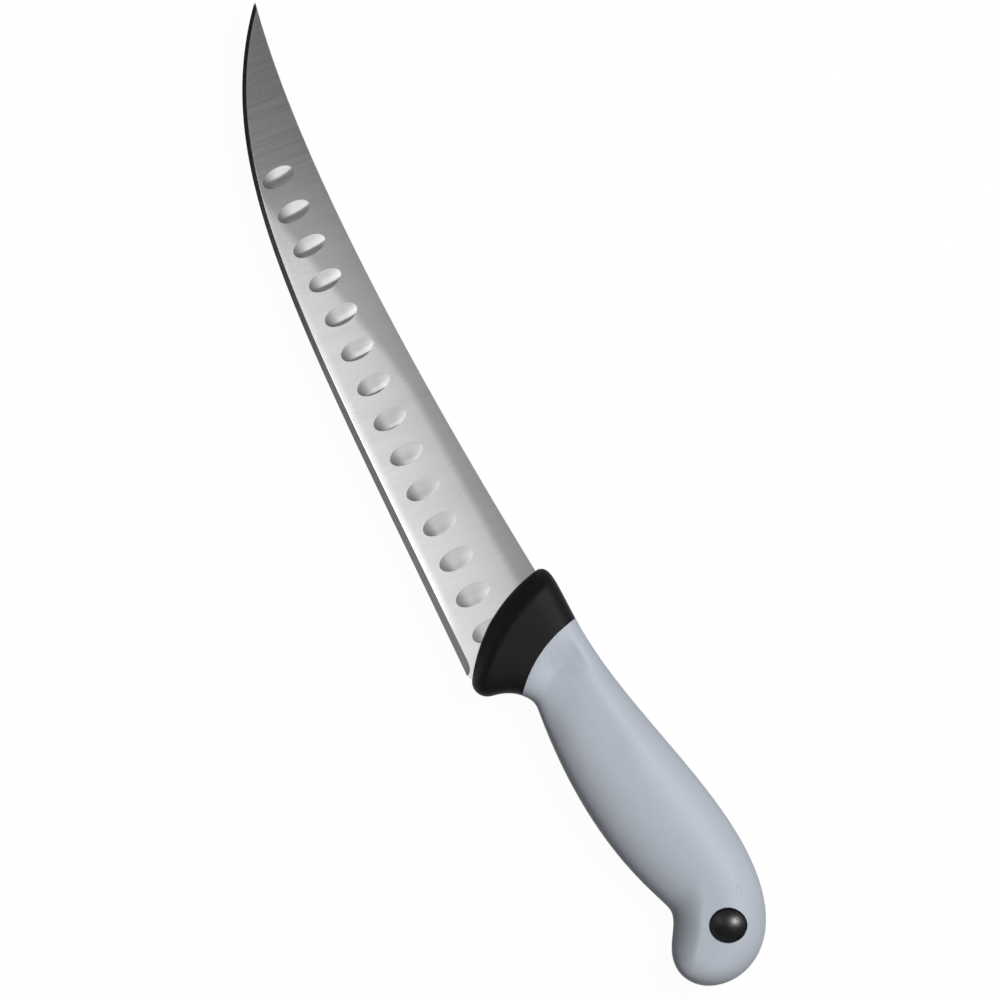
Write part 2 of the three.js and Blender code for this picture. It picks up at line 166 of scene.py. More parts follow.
def ease(value, low, high):
    """A smooth rise from 0 at low to 1 at high."""
    v = np.clip((np.asarray(value, float) - low) / (high - low), 0, 1)
    return v * v * (3 - 2 * v)


def dome(v):
    """A quarter-round rise from 0 to 1."""
    return np.sqrt(1 - (1 - np.clip(v, 0, 1)) ** 2)


def blend(a, b, share):
    """A value share of the way from a to b."""
    return a + (b - a) * share


print("an eased and a quarter-round rise, half-way:", float(ease(0.5, 0, 1)), round(float(dome(0.5)), 3))


# %% [markdown]
# ## The blade's outline and thickness
# The blade is ground from one sheet: the spine sags a little, the edge sweeps up to the tip, and both faces
# taper to the tip and to the edge. Two lines give the outline, the spine and the edge, each as a height
# over its place along the blade, because all later steps ask for heights.

# %% Blade outline
TIP = np.array([-BLADE_LENGTH, -1.1])
TIP_FLAT = 0.5
HEEL = np.array([20.8, -33.94])
HEEL_RUN = np.array([2.6, 1.2])
SHOULDER = np.array([23.4, -14.75])
SPINE_CONTROL = TIP + [63, -12.2]
SPINE_RUN = 9.0
spine_line = bezier([TIP, SPINE_CONTROL, [0, 0]], 800)
edge_line = pulled(TIP - [0, TIP_FLAT], [41.2, -36.2], [-123.9, 1.3], HEEL)


def spine_y(x):
    """Height of the back of the blade, along the spine and then down the shoulder inside the collar."""
    slope = SPINE_CONTROL[1] / SPINE_CONTROL[0]
    run_end = SPINE_RUN * slope
    knots_x = np.concatenate([spine_line[:, 0], [SPINE_RUN, SHOULDER[0]]])
    knots_y = np.concatenate([spine_line[:, 1], [run_end, SHOULDER[1]]])
    return np.interp(x, knots_x, knots_y)


def edge_y(x):
    """Height of the cutting edge, and of the short heel behind it."""
    knots_x = np.append(edge_line[:, 0], HEEL[0] + HEEL_RUN[0])
    knots_y = np.append(edge_line[:, 1], HEEL[1] + HEEL_RUN[1])
    return np.interp(x, knots_x, knots_y)


print("blade: spine at mid-length", round(float(spine_y(-100)), 2), "edge", round(float(edge_y(-100)), 2))

# %% [markdown]
# ### Thickness
# The lower part of each face is ground a touch thinner, below a soft line that climbs from the edge behind
# the tip and then follows the spine. Beside the bevel the face rolls off, as a polishing belt bends round
# an edge: narrow and steep at the tip, wider along the straight part, and not at all by the heel. It is a
# smooth curve and not a chamfer, because a kink would show as a hard stripe in the reflection.

# %% Blade thickness
SPINE_THICK, TIP_THICK, EDGE_THICK = 2.5, 1.3, 1.5
BLADE_HEIGHT = 33.95
GRIND_LINE = np.array([[-145.0, -27.1], [-72.0, -10.4], [1.0, -6.9]])
GRIND_SLOPE = 0.003
GRIND_SOFT = 1.2
ROLL_WIDTH, ROLL_DROP = (1.0, 2.6), (0.055, 0.12)
ROLL_GROWS, ROLL_ENDS = (-118, -75), (-8, 14)
LEAST_HALF = 0.12


def line_side(x, y, start, end):
    """Distance to the edge side of a line from start to end."""
    along = (end - start) / np.linalg.norm(end - start)
    return (x - start[0]) * along[1] - (y - start[1]) * along[0]


def below_grind(x, y):
    """Distance below the soft grind line, counted from 0."""
    depth = np.minimum(line_side(x, y, *GRIND_LINE[:2]), line_side(x, y, *GRIND_LINE[1:]))
    return GRIND_SOFT * np.log1p(np.exp(np.clip(depth / GRIND_SOFT, -30, 30)))


def roll_off(x, y):
    """Drop of the face beside the bevel: narrow at the tip, wider along the edge, none at the heel."""
    width, drop = [blend(*sizes, ease(x, *ROLL_GROWS)) for sizes in (ROLL_WIDTH, ROLL_DROP)]
    return drop * (1 - ease(x, *ROLL_ENDS)) * (1 - np.clip((y - bevel_y(x)) / width, 0, 1)) ** 2


def half_thickness(x, y):
    """Half the blade's thickness on its ground faces."""
    along = (SPINE_THICK - TIP_THICK) / BLADE_LENGTH
    across = (SPINE_THICK - EDGE_THICK) / BLADE_HEIGHT
    flat = (SPINE_THICK + along * np.minimum(x, 0) + across * y) / 2
    return np.maximum(flat - GRIND_SLOPE * below_grind(x, y) - roll_off(x, y), LEAST_HALF)


print("sheet thickness at spine, tip and edge, mm:", SPINE_THICK, TIP_THICK, EDGE_THICK)

# %% [markdown]
# ### Bevel
# A narrow bevel makes the edge itself. It is measured square to the edge, so that it stays even round the
# sweep, and it ends in a quarter round before the heel, where the wheel is lifted off. A hair of honed
# steel lies beside it.

# %% Bevel along the edge
BEVEL_TIP, BEVEL_HEEL = 1.2, 2.2
BEVEL_RUN_OUT = 3.7
EDGE_LAND = 0.06
HONED_WIDTH, HONED_TIP, HONED_ROOM = 0.3, 0.25, 0.06
BEVEL_ROOM = 0.85


def bevel_width(x):
    """Width of the bevel, square to the edge."""
    return np.interp(x, [TIP[0], HEEL[0]], [BEVEL_TIP, BEVEL_HEEL])


def bevel_share(x):
    """Share of the full bevel: 1 along the edge, falling in a quarter round to 0 at the heel."""
    run_out = np.clip((x - HEEL[0] + BEVEL_RUN_OUT) / BEVEL_RUN_OUT, 0, 1)
    return np.sqrt(1 - run_out ** 2)


def bevel_y(x):
    """Height of the line where the bevel meets the face."""
    step = 0.05
    slope = (edge_y(np.add(x, step)) - edge_y(np.subtract(x, step))) / (2 * step)
    rise = bevel_width(x) * bevel_share(x) * np.sqrt(1 + slope ** 2)
    room = BEVEL_ROOM * (spine_y(x) - edge_y(x))
    return edge_y(x) + np.minimum(rise, room)


def honed_y(x):
    """Upper border of the honed strip beside the bevel."""
    width = HONED_WIDTH * bevel_share(x) * blend(HONED_TIP, 1, ease(x, *ROLL_GROWS))
    width = width * (1 - ease(x, *ROLL_ENDS))
    return bevel_y(x) + np.minimum(width, HONED_ROOM * (spine_y(x) - bevel_y(x)))


print("bevel at mid-length, mm:", round(float(bevel_y(-100) - edge_y(-100)), 2))

# %% [markdown]
# ## Scallops
# The oval hollows let air in behind a slice, so that meat falls off the blade. Each one is a shallow bowl
# that stands across the blade, and the row follows the edge. Those of the far face sit half a pitch further
# on. A bowl with a crisp rim needs rings of points that follow its rim, so each scallop gets a cell of its
# own.

# %% Scallop row
SCALLOPS = 14
PITCH_HEEL, PITCH_MEAN = 12.45, 12.15
LAST_SCALLOP = 10.85
ROW_HEIGHTS = np.array([-21.3, -20.1, -20.6, -18.7])
SCALLOP_WIDTH = (6.7, 5.9)
SCALLOP_LENGTH = (11.8, 11.0)
SCALLOP_DEPTH, SCALLOP_SKEW = 0.33, np.array([0.4, -0.2])
SCALLOP_LEAN = math.radians(4)
CELL_COLUMNS = 16
CELL_MARGIN, CELL_FLOOR = 1.3, 0.6
row_curve = bezier(np.stack([np.linspace(0, 1, 4), ROW_HEIGHTS], 1))


def along_row(k):
    """Place along the blade of row number k, counted from the collar to the tip."""
    share = np.asarray(k) / (SCALLOPS - 1)
    return LAST_SCALLOP - k * blend(PITCH_HEEL, PITCH_MEAN, share)


def row_share(k):
    """Share of the row, from 0 at the collar to 1 at the tip."""
    return np.clip(np.asarray(k) / (SCALLOPS - 1), 0, 1)


def row_y(k):
    """Height of the row's middle line."""
    return np.interp(row_share(k), row_curve[:, 0], row_curve[:, 1])


def scallop_size(k):
    """Half width and half length of a scallop."""
    return [blend(*sizes, row_share(k)) / 2 for sizes in (SCALLOP_WIDTH, SCALLOP_LENGTH)]


print("scallops on each face:", SCALLOPS, "the last at, mm:", round(float(along_row(SCALLOPS - 1)), 2))


# %% [markdown]
# ## The blade's mesh
# The blade is laid out in columns from the collar to the tip, with the same columns on both faces so that
# they weld along the spine and the edge. Between an upper and a lower row of each cell the columns give way
# to rings: from the cell's frame inwards to the scallop's rim, over the rim and down into the bowl.

# %% Columns and rows
TIP_COLUMNS = 70
UPPER_ROWS, CELL_ROWS, LOWER_ROWS = 12, 16, 8
RIM_ROUND = 0.16
TIP_CROWDING, LEAST_STEP = 1.5, 0.05
heel_columns = np.concatenate([
    np.linspace(SHOULDER[0], HEEL[0], 7)[:-1],
    HEEL[0] - BEVEL_RUN_OUT * np.sin(np.linspace(np.pi / 2, 0, 15))[::-1],
])
row_numbers = np.arange(-CELL_COLUMNS // 2, SCALLOPS * CELL_COLUMNS + 1) / CELL_COLUMNS
row_columns = along_row(row_numbers)
heel_columns = heel_columns[heel_columns > row_columns[0] + LEAST_STEP]
tip_share = np.linspace(0, 1, TIP_COLUMNS + 1)[1:]
tip_columns = row_columns[-1] + (TIP[0] - row_columns[-1]) * (1 - (1 - tip_share) ** TIP_CROWDING)
columns = np.concatenate([heel_columns, row_columns, tip_columns])
first_row_column = len(heel_columns)


def cell_bounds(k):
    """Upper and lower height of the ring cells at row number k."""
    half = scallop_size(k)[1] + CELL_MARGIN
    floor = bevel_y(along_row(k)) + CELL_FLOOR
    return row_y(k) + half, np.maximum(row_y(k) - half, floor)


def column_rows(index):
    """Heights of the face rows of one column, from just under the spine to the bevel."""
    x = columns[index]
    top = spine_y(x) - min(RIM_ROUND, 0.1 * float(spine_y(x) - bevel_y(x)))
    low = bevel_y(x)
    k = np.clip((index - first_row_column) / CELL_COLUMNS - 0.5, -0.5, SCALLOPS)
    if index > first_row_column + len(row_columns) - 1 or index < first_row_column:
        x_near = along_row(k)
        high_cell, low_cell = cell_bounds(k)
        full = spine_y(x_near) - bevel_y(x_near)
        cell = [top - (spine_y(x_near) - y) / full * (top - low) for y in (high_cell, low_cell)]
    else:
        cell = cell_bounds(k)
    return np.concatenate([
        np.linspace(top, cell[0], UPPER_ROWS + 1)[:-1],
        np.linspace(cell[0], cell[1], CELL_ROWS + 1)[:-1],
        np.linspace(cell[1], honed_y(x), LOWER_ROWS), [low],
    ])


rows = np.array([column_rows(i) for i in range(len(columns))])
print("blade columns", len(columns), "rows", rows.shape[1])

# %% [markdown]
# The rings of one cell go from the cell's frame to the middle of the bowl. Close rings on both sides of the
# rim keep it crisp when the surface is shaded smooth. The bowl's depth follows a parabola, as a grinding
# wheel leaves it, but a leaning one: the wheel comes in at a slant, so the walls towards the heel and the
# edge are the steeper ones.

# %% Rings of one scallop
RING_SHARES = np.array([0.0, 0.4, 0.75, 0.93, 1.0])
BOWL_SHARES = np.array([0.965, 0.88, 0.76, 0.62, 0.46, 0.3, 0.15])


def frame_loop(first):
    """Points of the frame of the cell whose first column is given, in order round the cell."""
    last = first + CELL_COLUMNS
    high, low = UPPER_ROWS, UPPER_ROWS + CELL_ROWS
    top = [(columns[i], rows[i, high]) for i in range(first, last)]
    side_out = [(columns[last], rows[last, j]) for j in range(high, low)]
    bottom = [(columns[i], rows[i, low]) for i in range(last, first, -1)]
    side_back = [(columns[first], rows[first, j]) for j in range(low, high, -1)]
    return np.array(top + side_out + bottom + side_back)


def rim_loop(x, y, half_width, half_length, count):
    """Points round a scallop's rim that match the frame's points one to one."""
    angle = np.pi / 4 + 2 * np.pi * np.arange(count) / count
    across, along = half_width * np.cos(angle), half_length * np.sin(angle)
    turn = np.array([[math.cos(SCALLOP_LEAN), math.sin(SCALLOP_LEAN)],
                     [-math.sin(SCALLOP_LEAN), math.cos(SCALLOP_LEAN)]])
    return np.array([x, y]) + np.stack([across, along], 1) @ turn


def scallop_rings(k, first, centre_k):
    """All rings of a scallop cell, as plan points and depths below the face."""
    outer = frame_loop(first)
    x, y = float(along_row(centre_k)), float(row_y(k))
    rim = rim_loop(x, y, *scallop_size(k), len(outer))
    rings = [(outer + (rim - outer) * s, 0.0) for s in RING_SHARES]
    centre = np.array([x, y])
    skew = (rim - centre) / scallop_size(k) @ SCALLOP_SKEW
    for share in BOWL_SHARES:
        depth = SCALLOP_DEPTH * (1 - share ** 2) * (1 + share * skew)
        rings.append((centre + (rim - centre) * share, depth))
    return rings, centre


print("rings of a scallop:", len(RING_SHARES) + len(BOWL_SHARES))


# %% [markdown]
# Each face is gathered as quads: plain columns, ring cells and the bevel strip. Every quad also notes which
# finish it has, because the bowls and the bevel are ground with other wheels than the face.

# %% One face of the blade
FACE, BOWL, BEVEL, HONED = range(4)


class Skin:
    """Collects points, faces and finishes of one mesh."""

    def __init__(self):
        self.points, self.faces, self.finishes = [], [], []

    def add_points(self, points):
        start = len(self.points)
        self.points.extend(map(tuple, points))
        return list(range(start, len(self.points)))

    def add_strip(self, a, b, finish, closed=False):
        """Quads between two rows of points of equal count."""
        count = len(a)
        for i in range(count if closed else count - 1):
            j = (i + 1) % count
            self.faces.append((a[i], a[j], b[j], b[i]))
            self.finishes.append(finish)


def face_points(plan, side, depth=0.0):
    """Points on a face of the blade over plan points, sunk by a depth."""
    plan = np.asarray(plan)
    height = half_thickness(plan[:, 0], plan[:, 1]) - depth
    return np.column_stack([plan, side * height])


def add_face(skin, side, stagger):
    """One face of the blade: columns, ring cells, and the bevel."""
    in_cells = set()
    for k in range(SCALLOPS):
        first = first_row_column + k * CELL_COLUMNS + (CELL_COLUMNS // 2 if stagger else 0)
        in_cells.update(range(first, first + CELL_COLUMNS))
        add_scallop(skin, side, k, first, k + (0.5 if stagger else 0))
    plan = np.stack([np.repeat(columns[:, None], rows.shape[1], 1), rows], 2)
    grid = [skin.add_points(face_points(column, side)) for column in plan]
    for i in range(len(columns) - 1):
        for j in range(rows.shape[1] - 1):
            if i in in_cells and UPPER_ROWS <= j < UPPER_ROWS + CELL_ROWS:
                continue
            skin.faces.append((grid[i][j], grid[i][j + 1], grid[i + 1][j + 1], grid[i + 1][j]))
            skin.finishes.append(HONED if j == rows.shape[1] - 2 else FACE)
    return grid


def add_scallop(skin, side, k, first, centre_k):
    """Rings of one scallop, with a fan over the middle of the bowl."""
    rings, centre = scallop_rings(k, first, centre_k)
    loops = [skin.add_points(face_points(plan, side, depth)) for plan, depth in rings]
    for i in range(len(loops) - 1):
        finish = FACE if i < len(RING_SHARES) - 1 else BOWL
        skin.add_strip(loops[i], loops[i + 1], finish, closed=True)
    middle = skin.add_points(face_points([centre], side, SCALLOP_DEPTH))[0]
    inner = loops[-1]
    for i in range(len(inner)):
        skin.faces.append((inner[i], inner[(i + 1) % len(inner)], middle))
        skin.finishes.append(BOWL)


# %% [markdown]
# The two faces are joined along the spine, which has small rounded corners, along the edge, which keeps a
# hair of flat steel, and at both ends.

# %% Whole blade
def spine_points(side):
    """Rim of the spine's flat back on one side."""
    height = half_thickness(columns, rows[:, 0])
    inset = np.minimum(RIM_ROUND, 0.3 * height)
    return np.column_stack([columns, spine_y(columns), side * (height - inset)])


def edge_points(side):
    """Rim of the cutting edge on one side, full thickness where the bevel has run out."""
    face = half_thickness(columns, bevel_y(columns))
    height = face + (EDGE_LAND / 2 - face) * bevel_share(columns)
    return np.column_stack([columns, edge_y(columns), side * height])


def make_blade():
    """Both faces, the spine, the edge and the two ends."""
    skin = Skin()
    rims = []
    for side, stagger in ((1, False), (-1, True)):
        grid = add_face(skin, side, stagger)
        spine = skin.add_points(spine_points(side))
        edge = skin.add_points(edge_points(side))
        skin.add_strip(spine, [column[0] for column in grid], FACE)
        skin.add_strip([column[-1] for column in grid], edge, BEVEL)
        ends = [[spine[i], *grid[i], edge[i]] for i in (0, -1)]
        rims.append([spine, edge, *ends])
    for near, far, finish in zip(*rims, (FACE, BEVEL, FACE, FACE)):
        skin.add_strip(near, far, finish)
    return skin


BLADE_CREASE = 5.0
blade_skin = make_blade()
blade = new_piece("blade_ground", blade_skin.points, blade_skin.faces, BLADE_CREASE, blade_skin.finishes)
print("blade points", len(blade.data.vertices), "faces", len(blade.data.polygons))

# %% [markdown]
# ## The handle's form
# Collar and grip are moulded over the same form. It is described by two outlines, one on the spine side and
# one on the edge side, and by a section that starts as a rounded square in the collar and turns into an
# oval in the palm. A ring of points at each station, stretched between the two outlines, is all that a loft
# needs.

# %% Outlines of collar, palm and butt
NOSE_TOP, COLLAR_END = np.array([0.25, 0.8]), np.array([19.2, 4.9])
NOSE_FOOT = HEEL + [1.95, 0.85]
GUARD = NOSE_FOOT + [7.25, 3.7]
CHOIL = np.array([NOSE_FOOT[0] + 11.15, -21.1])
FINGER = np.array([CHOIL[0] + 6.6, -18.4])
BUTT = np.array([143.93, -0.5])
NOTCH = BUTT + [-28, -7.9]
HOOK = BUTT + [-11.7, -14.2]
CHOIL_PULL = np.array([2.2, 2.0])

collar_top = chain((NOSE_TOP, [0.5, 4.1], [-14.2, -0.5], COLLAR_END))
collar_low = chain((NOSE_FOOT, [2.6, -1.65], [-0.7, -4], GUARD), (GUARD, [0.5, 3], -CHOIL_PULL, CHOIL))
palm_top = chain((COLLAR_END, [29.8, 0.9], [-28, 0], CREST))
palm_low = chain((CHOIL, CHOIL_PULL, [-3.2, 0.3], FINGER), (FINGER, [49, -4.8], [-4.6, 0], NOTCH))
butt_top = chain((CREST, [28, 0], [0, 7.1], BUTT), (BUTT, [0, -8.8], [6.2, 0], HOOK))
butt_low = chain((NOTCH, [5.1, 0], [-7, 0], HOOK))
print("handle outlines, mm:", round(float(palm_top.length), 1), round(float(palm_low.length), 1))

# %% [markdown]
# ### Sections
# The collar starts as a thin lip on the blade and slopes up, rounded, into its flat face. Behind it the
# section swells to the palm and turns into an oval that is fuller on the spine side. At the notch and the
# hook the edge side has a flatter wall. Each measure is a function of the share of a stretch, and eased
# steps keep ridges out of the loft.

# %% Sections along the handle
COLLAR_THICK, PALM_THICK, BUTT_THICK = 19.0, 22.98, 20.5
COLLAR_SQUARE, GRIP_SQUARE, BUTT_SQUARE, SQUARE_RUN = 4.0, 2.4, 2.2, 0.22
NOSE_BOW, BORDER_BOW = 4.3, 2.8
NOTCH_WALL, HOOK_RISE, HOOK_FALL, HOOK_START = (0.94, 1.03), (0, 0.25), (0.5, 0.95), 0.55
NOSE_ROUND, NOSE_LIP, NOSE_POWER = 6.6, 1.8, 1.6
PALM_RISE, PALM_PEAK = 0.3, 0.5
LEAN_FRONT, LEAN_PALM, LEAN_BUTT, LEAN_RUN = 0.1, 0.06, 0.05, 0.2
WALL_FLAT, WALL_POWER = 0.4, 1.33


def collar_half(u):
    along = min(1.0, u * COLLAR_END[0] / NOSE_ROUND)
    return blend(NOSE_LIP, COLLAR_THICK / 2, 1 - (1 - along) ** NOSE_POWER)


def palm_half(u):
    swell = blend(COLLAR_THICK, PALM_THICK, ease(u, 0, PALM_RISE))
    return blend(swell, BUTT_THICK, ease(u, PALM_PEAK, 1)) / 2


def palm_square(u):
    palm = blend(COLLAR_SQUARE, GRIP_SQUARE, ease(u, 0, SQUARE_RUN))
    return blend(palm, BUTT_SQUARE, ease(u, PALM_PEAK, 1))


def palm_lean(u):
    palm = blend(LEAN_FRONT * ease(u, 0, LEAN_RUN), LEAN_PALM, ease(u, LEAN_RUN, PALM_PEAK))
    return blend(palm, LEAN_BUTT, ease(u, PALM_PEAK, 1))


def butt_half(u):
    middle = (butt_top(u) + butt_low(u)) / 2
    return BUTT_THICK / 2 * dome(2 * np.linalg.norm(middle - HOOK) / BUTT_THICK)


def notch_wall(u):
    return ease(u, *NOTCH_WALL)


def hook_wall(u):
    return blend(HOOK_START, 1, ease(u, *HOOK_RISE)) * (1 - ease(u, *HOOK_FALL))


COLLAR = {
    "top": collar_top, "low": collar_low, "half": collar_half,
    "bow": lambda u: blend(NOSE_BOW, BORDER_BOW, u),
    "square": lambda u: COLLAR_SQUARE, "lean": lambda u: 0.0, "wall": lambda u: 0.0,
}
PALM = {
    "top": palm_top, "low": palm_low, "half": palm_half,
    "bow": lambda u: BORDER_BOW * (1 - ease(u, 0, PALM_PEAK)),
    "square": palm_square, "lean": palm_lean, "wall": notch_wall,
}
BUTT_END = {
    "top": butt_top, "low": butt_low, "half": butt_half,
    "bow": lambda u: 0.0,
    "square": lambda u: BUTT_SQUARE, "lean": lambda u: LEAN_BUTT, "wall": hook_wall,
}
print("half thickness of collar and palm, mm:", collar_half(1), round(palm_half(0.4), 2))

# %% [markdown]
# A ring is half an oval, spaced evenly along its length, and the mirror image of that half. Even spacing
# matters on a squarish section, where equal angles would crowd the points into the corners.

# %% Rings and lofts
def ring(stretch, u, count, inset=0.0):
    """One closed ring round the handle at share u of a stretch, drawn in by inset."""
    top, low = stretch["top"](u), stretch["low"](u)
    span = np.linalg.norm(low - top) / 2
    across = (low - top) / (2 * span)
    forward = np.array([across[1], -across[0]])
    angle = np.linspace(0, np.pi, 1201)
    power = 2 / stretch["square"](u)
    cosine, sine = np.cos(angle), np.abs(np.sin(angle))
    wall = stretch["wall"](u)
    power = np.where(cosine < 0, blend(power, WALL_POWER, wall), power)
    reach = -np.sign(cosine) * np.abs(cosine) ** power
    reach = np.where(reach > 1e-6, blend(WALL_FLAT * wall, 1, reach), reach)
    height = sine ** power * (1 - stretch["lean"](u) * reach)
    reach, height = reach * (span - inset), height / height.max() * (stretch["half"](u) - inset)
    length = np.concatenate([[0], np.cumsum(np.hypot(np.diff(reach), np.diff(height)))])
    even = np.linspace(0, length[-1], count // 2 + 1)
    reach, height = np.interp(even, length, reach), np.interp(even, length, height)
    height[0] = height[-1] = 0.0
    bow = stretch["bow"](u) * (1 - (reach / span) ** 2)
    plan = (top + low) / 2 + np.outer(reach, across) + np.outer(bow, forward)
    near = np.column_stack([plan, height])
    far = (near * [1, 1, -1])[-2:0:-1]
    return np.concatenate([near, far])


def loft(rings):
    """A closed skin over rings of equal count, with both ends closed by strips between mirrored points."""
    skin = Skin()
    loops = [skin.add_points(points) for points in rings]
    for a, b in zip(loops, loops[1:]):
        skin.add_strip(a, b, FACE, closed=True)
    for end in (loops[0], loops[-1]):
        count = len(end)
        for i in range(count // 2):
            corners = dict.fromkeys([end[i], end[i + 1], end[count - i - 1], end[(count - i) % count]])
            skin.faces.append(tuple(corners))
            skin.finishes.append(FACE)
    return skin


# %% [markdown]
# ## Cutting one piece out of another
# Slots, sockets and holes are cut with the Boolean modifier, as a milling cutter would. The result is baked
# into the mesh straight away and the cutter is thrown away, so no modifier is left for later steps to trip
# over.

# %% Carving
CREASE, PLAIN_CREASE = 35, 30


def carve(piece, cutters, crease_degrees):
    """Cut the cutters out of a piece and delete them."""
    for cutter in cutters:
        cut = piece.modifiers.new("cut", "BOOLEAN")
        cut.operation, cut.solver, cut.object = "DIFFERENCE", "EXACT", cutter
    view = bpy.context.evaluated_depsgraph_get()
    whole = piece.data
    piece.data = bpy.data.meshes.new_from_object(piece.evaluated_get(view))
    piece.modifiers.clear()
    bpy.data.meshes.remove(whole)
    for cutter in cutters:
        bpy.data.meshes.remove(cutter.data)
    piece.data.name = piece.name
    piece.data.shade_smooth()
    piece.data.set_sharp_from_angle(angle=math.radians(crease_degrees))


def cutter_from(skin):
    """A cutter from a skin."""
    return new_piece("cutter", skin.points, skin.faces, PLAIN_CREASE)


# %% [markdown]
# ## The collar
# The black collar is the first shot of the moulding: a rounded nose on the blade, a flat face, and the
# finger guard that hooks down behind the heel. The nose bends most at its lip, so the stations crowd
# together there, and the back rim is eased by a hair, which gives the fine dark line towards the grip. A
# copy of the blade cuts its own slot.

# %% Collar
COLLAR_RING, SOCKET_RING = 176, 48
EASE_ROUND = 0.15
EASE_STEPS = EASE_ROUND * np.array([1.0, 0.65, 0.35, 0.13, 0.0])
SPIGOT_INSET = 5.2
SOCKET_START, SOCKET_OVERRUN = 0.77, (0.004, 0.012)


def eased_inset(distance):
    """How far an eased rim is drawn in at a distance from its end."""
    return EASE_ROUND * (1 - dome(distance / EASE_ROUND))


nose_share = NOSE_ROUND / COLLAR_END[0]
rim_shares = 1 - EASE_STEPS / collar_low.length
collar_shares = np.concatenate([
    nose_share * np.linspace(0, 1, 25)[:-1] ** 2,
    np.linspace(nose_share, rim_shares[0], 40)[:-1],
    rim_shares,
])
collar_rings = [
    ring(COLLAR, u, COLLAR_RING, eased_inset((1 - u) * collar_low.length)) for u in collar_shares
]
collar_skin = loft(collar_rings)
collar = new_piece("front_collar_moulded", collar_skin.points, collar_skin.faces, CREASE)
socket_run = [(COLLAR, u) for u in np.linspace(SOCKET_START, 1, 5)] + [(PALM, u) for u in SOCKET_OVERRUN]
socket = loft([ring(stretch, u, SOCKET_RING, SPIGOT_INSET) for stretch, u in socket_run])
blade_twin = in_scene("cutter", blade.data.copy())
carve(collar, [blade_twin, cutter_from(socket)], CREASE)
print("collar faces", len(collar.data.polygons))

# %% [markdown]
# ## The grip
# The grey grip is the second shot, over the core. Behind the collar the palm swell starts from a soft
# crease, which leaves a shallow rest for the thumb, and a ridge runs back along the spine side with a
# hollow flank below it. Both are pressed into the rings' heights before they become a mesh, so that their
# edges stay as soft as on the moulding.

# %% Thumb rest
REST_DEPTH, REST_SHALLOW = 0.65, 0.7
REST_CREASE = np.array([[31.7, -18.3], [37.6, 2.6]])
RIDGE = np.array([[18.0, 2.2], [28.5, 2.8], [38.0, 5.0], [46.0, 6.2], [58.0, 6.6], [90.0, 7.0]])
FLANK_DEPTH, FLANK_WIDTH, FLANK_FAR = 1.35, 9.0, 42.0
REST_CREASE_SOFT, REST_RIDGE_SOFT, REST_FRONT_SOFT = 4.5, 4.0, 9.0
BORDER_MIDDLE, REST_FADE, REST_FOOT, FLANK_FADE = 23.6, (-16, -1), (-20, -12), (46, 84)
REST_FACING = (0.25, 0.8)
FLANK_LIP, REST_LIP = -1.5, -2.0


def thumb_rest(x, y):
    """Depth of the thumb rest at a point of the grip's face."""
    behind = -line_side(x, y, *REST_CREASE)
    below = np.interp(x, *RIDGE.T) - y
    middle = (COLLAR_END + CHOIL) / 2
    front = x - np.interp(y, [CHOIL[1], middle[1], COLLAR_END[1]], [CHOIL[0], BORDER_MIDDLE, COLLAR_END[0]])
    dish = ease(behind, 0, REST_CREASE_SOFT) * ease(below, 0, REST_RIDGE_SOFT)
    depth = REST_DEPTH * blend(REST_SHALLOW, 1, ease(y, *REST_FADE))
    flank = ease(below, FLANK_LIP, FLANK_WIDTH) * (1 - ease(below, FLANK_WIDTH, FLANK_FAR))
    flank = FLANK_DEPTH * flank * ease(front, 0, REST_FRONT_SOFT) * (1 - ease(x, *FLANK_FADE))
    return flank + depth * dish * ease(front, REST_LIP, REST_FRONT_SOFT) * ease(y, *REST_FOOT)


def press_rest(points, half):
    """Press the thumb rest into both faces of a ring."""
    facing = np.abs(points[:, 2]) / half
    depth = thumb_rest(points[:, 0], points[:, 1]) * ease(facing, *REST_FACING)
    return points - np.column_stack([np.zeros((len(points), 2)), np.sign(points[:, 2]) * depth])


print("thumb rest in its middle, mm deep:", round(float(thumb_rest(30.0, -6.0)), 2))

# %% [markdown]
# ### The grip's skin
# Two stretches make the grip: the palm, and the butt that closes round the hook. Rings stand closer behind
# the collar, where the form changes fastest, and at the very end, where the butt closes like a dome.

# %% Grip
GRIP_RING = 192
GRIP_WALL = 3.5
GRIP_START = 0.05 / palm_low.length
front_shares = GRIP_START + EASE_STEPS[::-1] / palm_low.length
palm_shares = np.concatenate([
    front_shares,
    blend(front_shares[-1], 1, np.linspace(0, 1, 130)[1:-1] ** 1.25),
])
butt_shares = np.sin(np.pi / 2 * np.linspace(0, 1, 91)[:-1])
grip_rings = []
for u in palm_shares:
    points = ring(PALM, u, GRIP_RING, eased_inset((u - GRIP_START) * palm_low.length))
    grip_rings.append(press_rest(points, PALM["half"](u)))
grip_rings += [ring(BUTT_END, u, GRIP_RING) for u in butt_shares]
grip_skin = loft(grip_rings)
grip = new_piece("grip_moulded", grip_skin.points, grip_skin.faces, CREASE)
print("grip points", len(grip.data.vertices))

# %% [markdown]
# ## The butt plug
# A black plug closes the hole through the butt. It has two domed halves: the pin of one is pressed into the
# socket of the other. The plug is a slight oval, so that it cannot turn: a profile is drawn once, spun
# about the axis of the hole and slimmed.

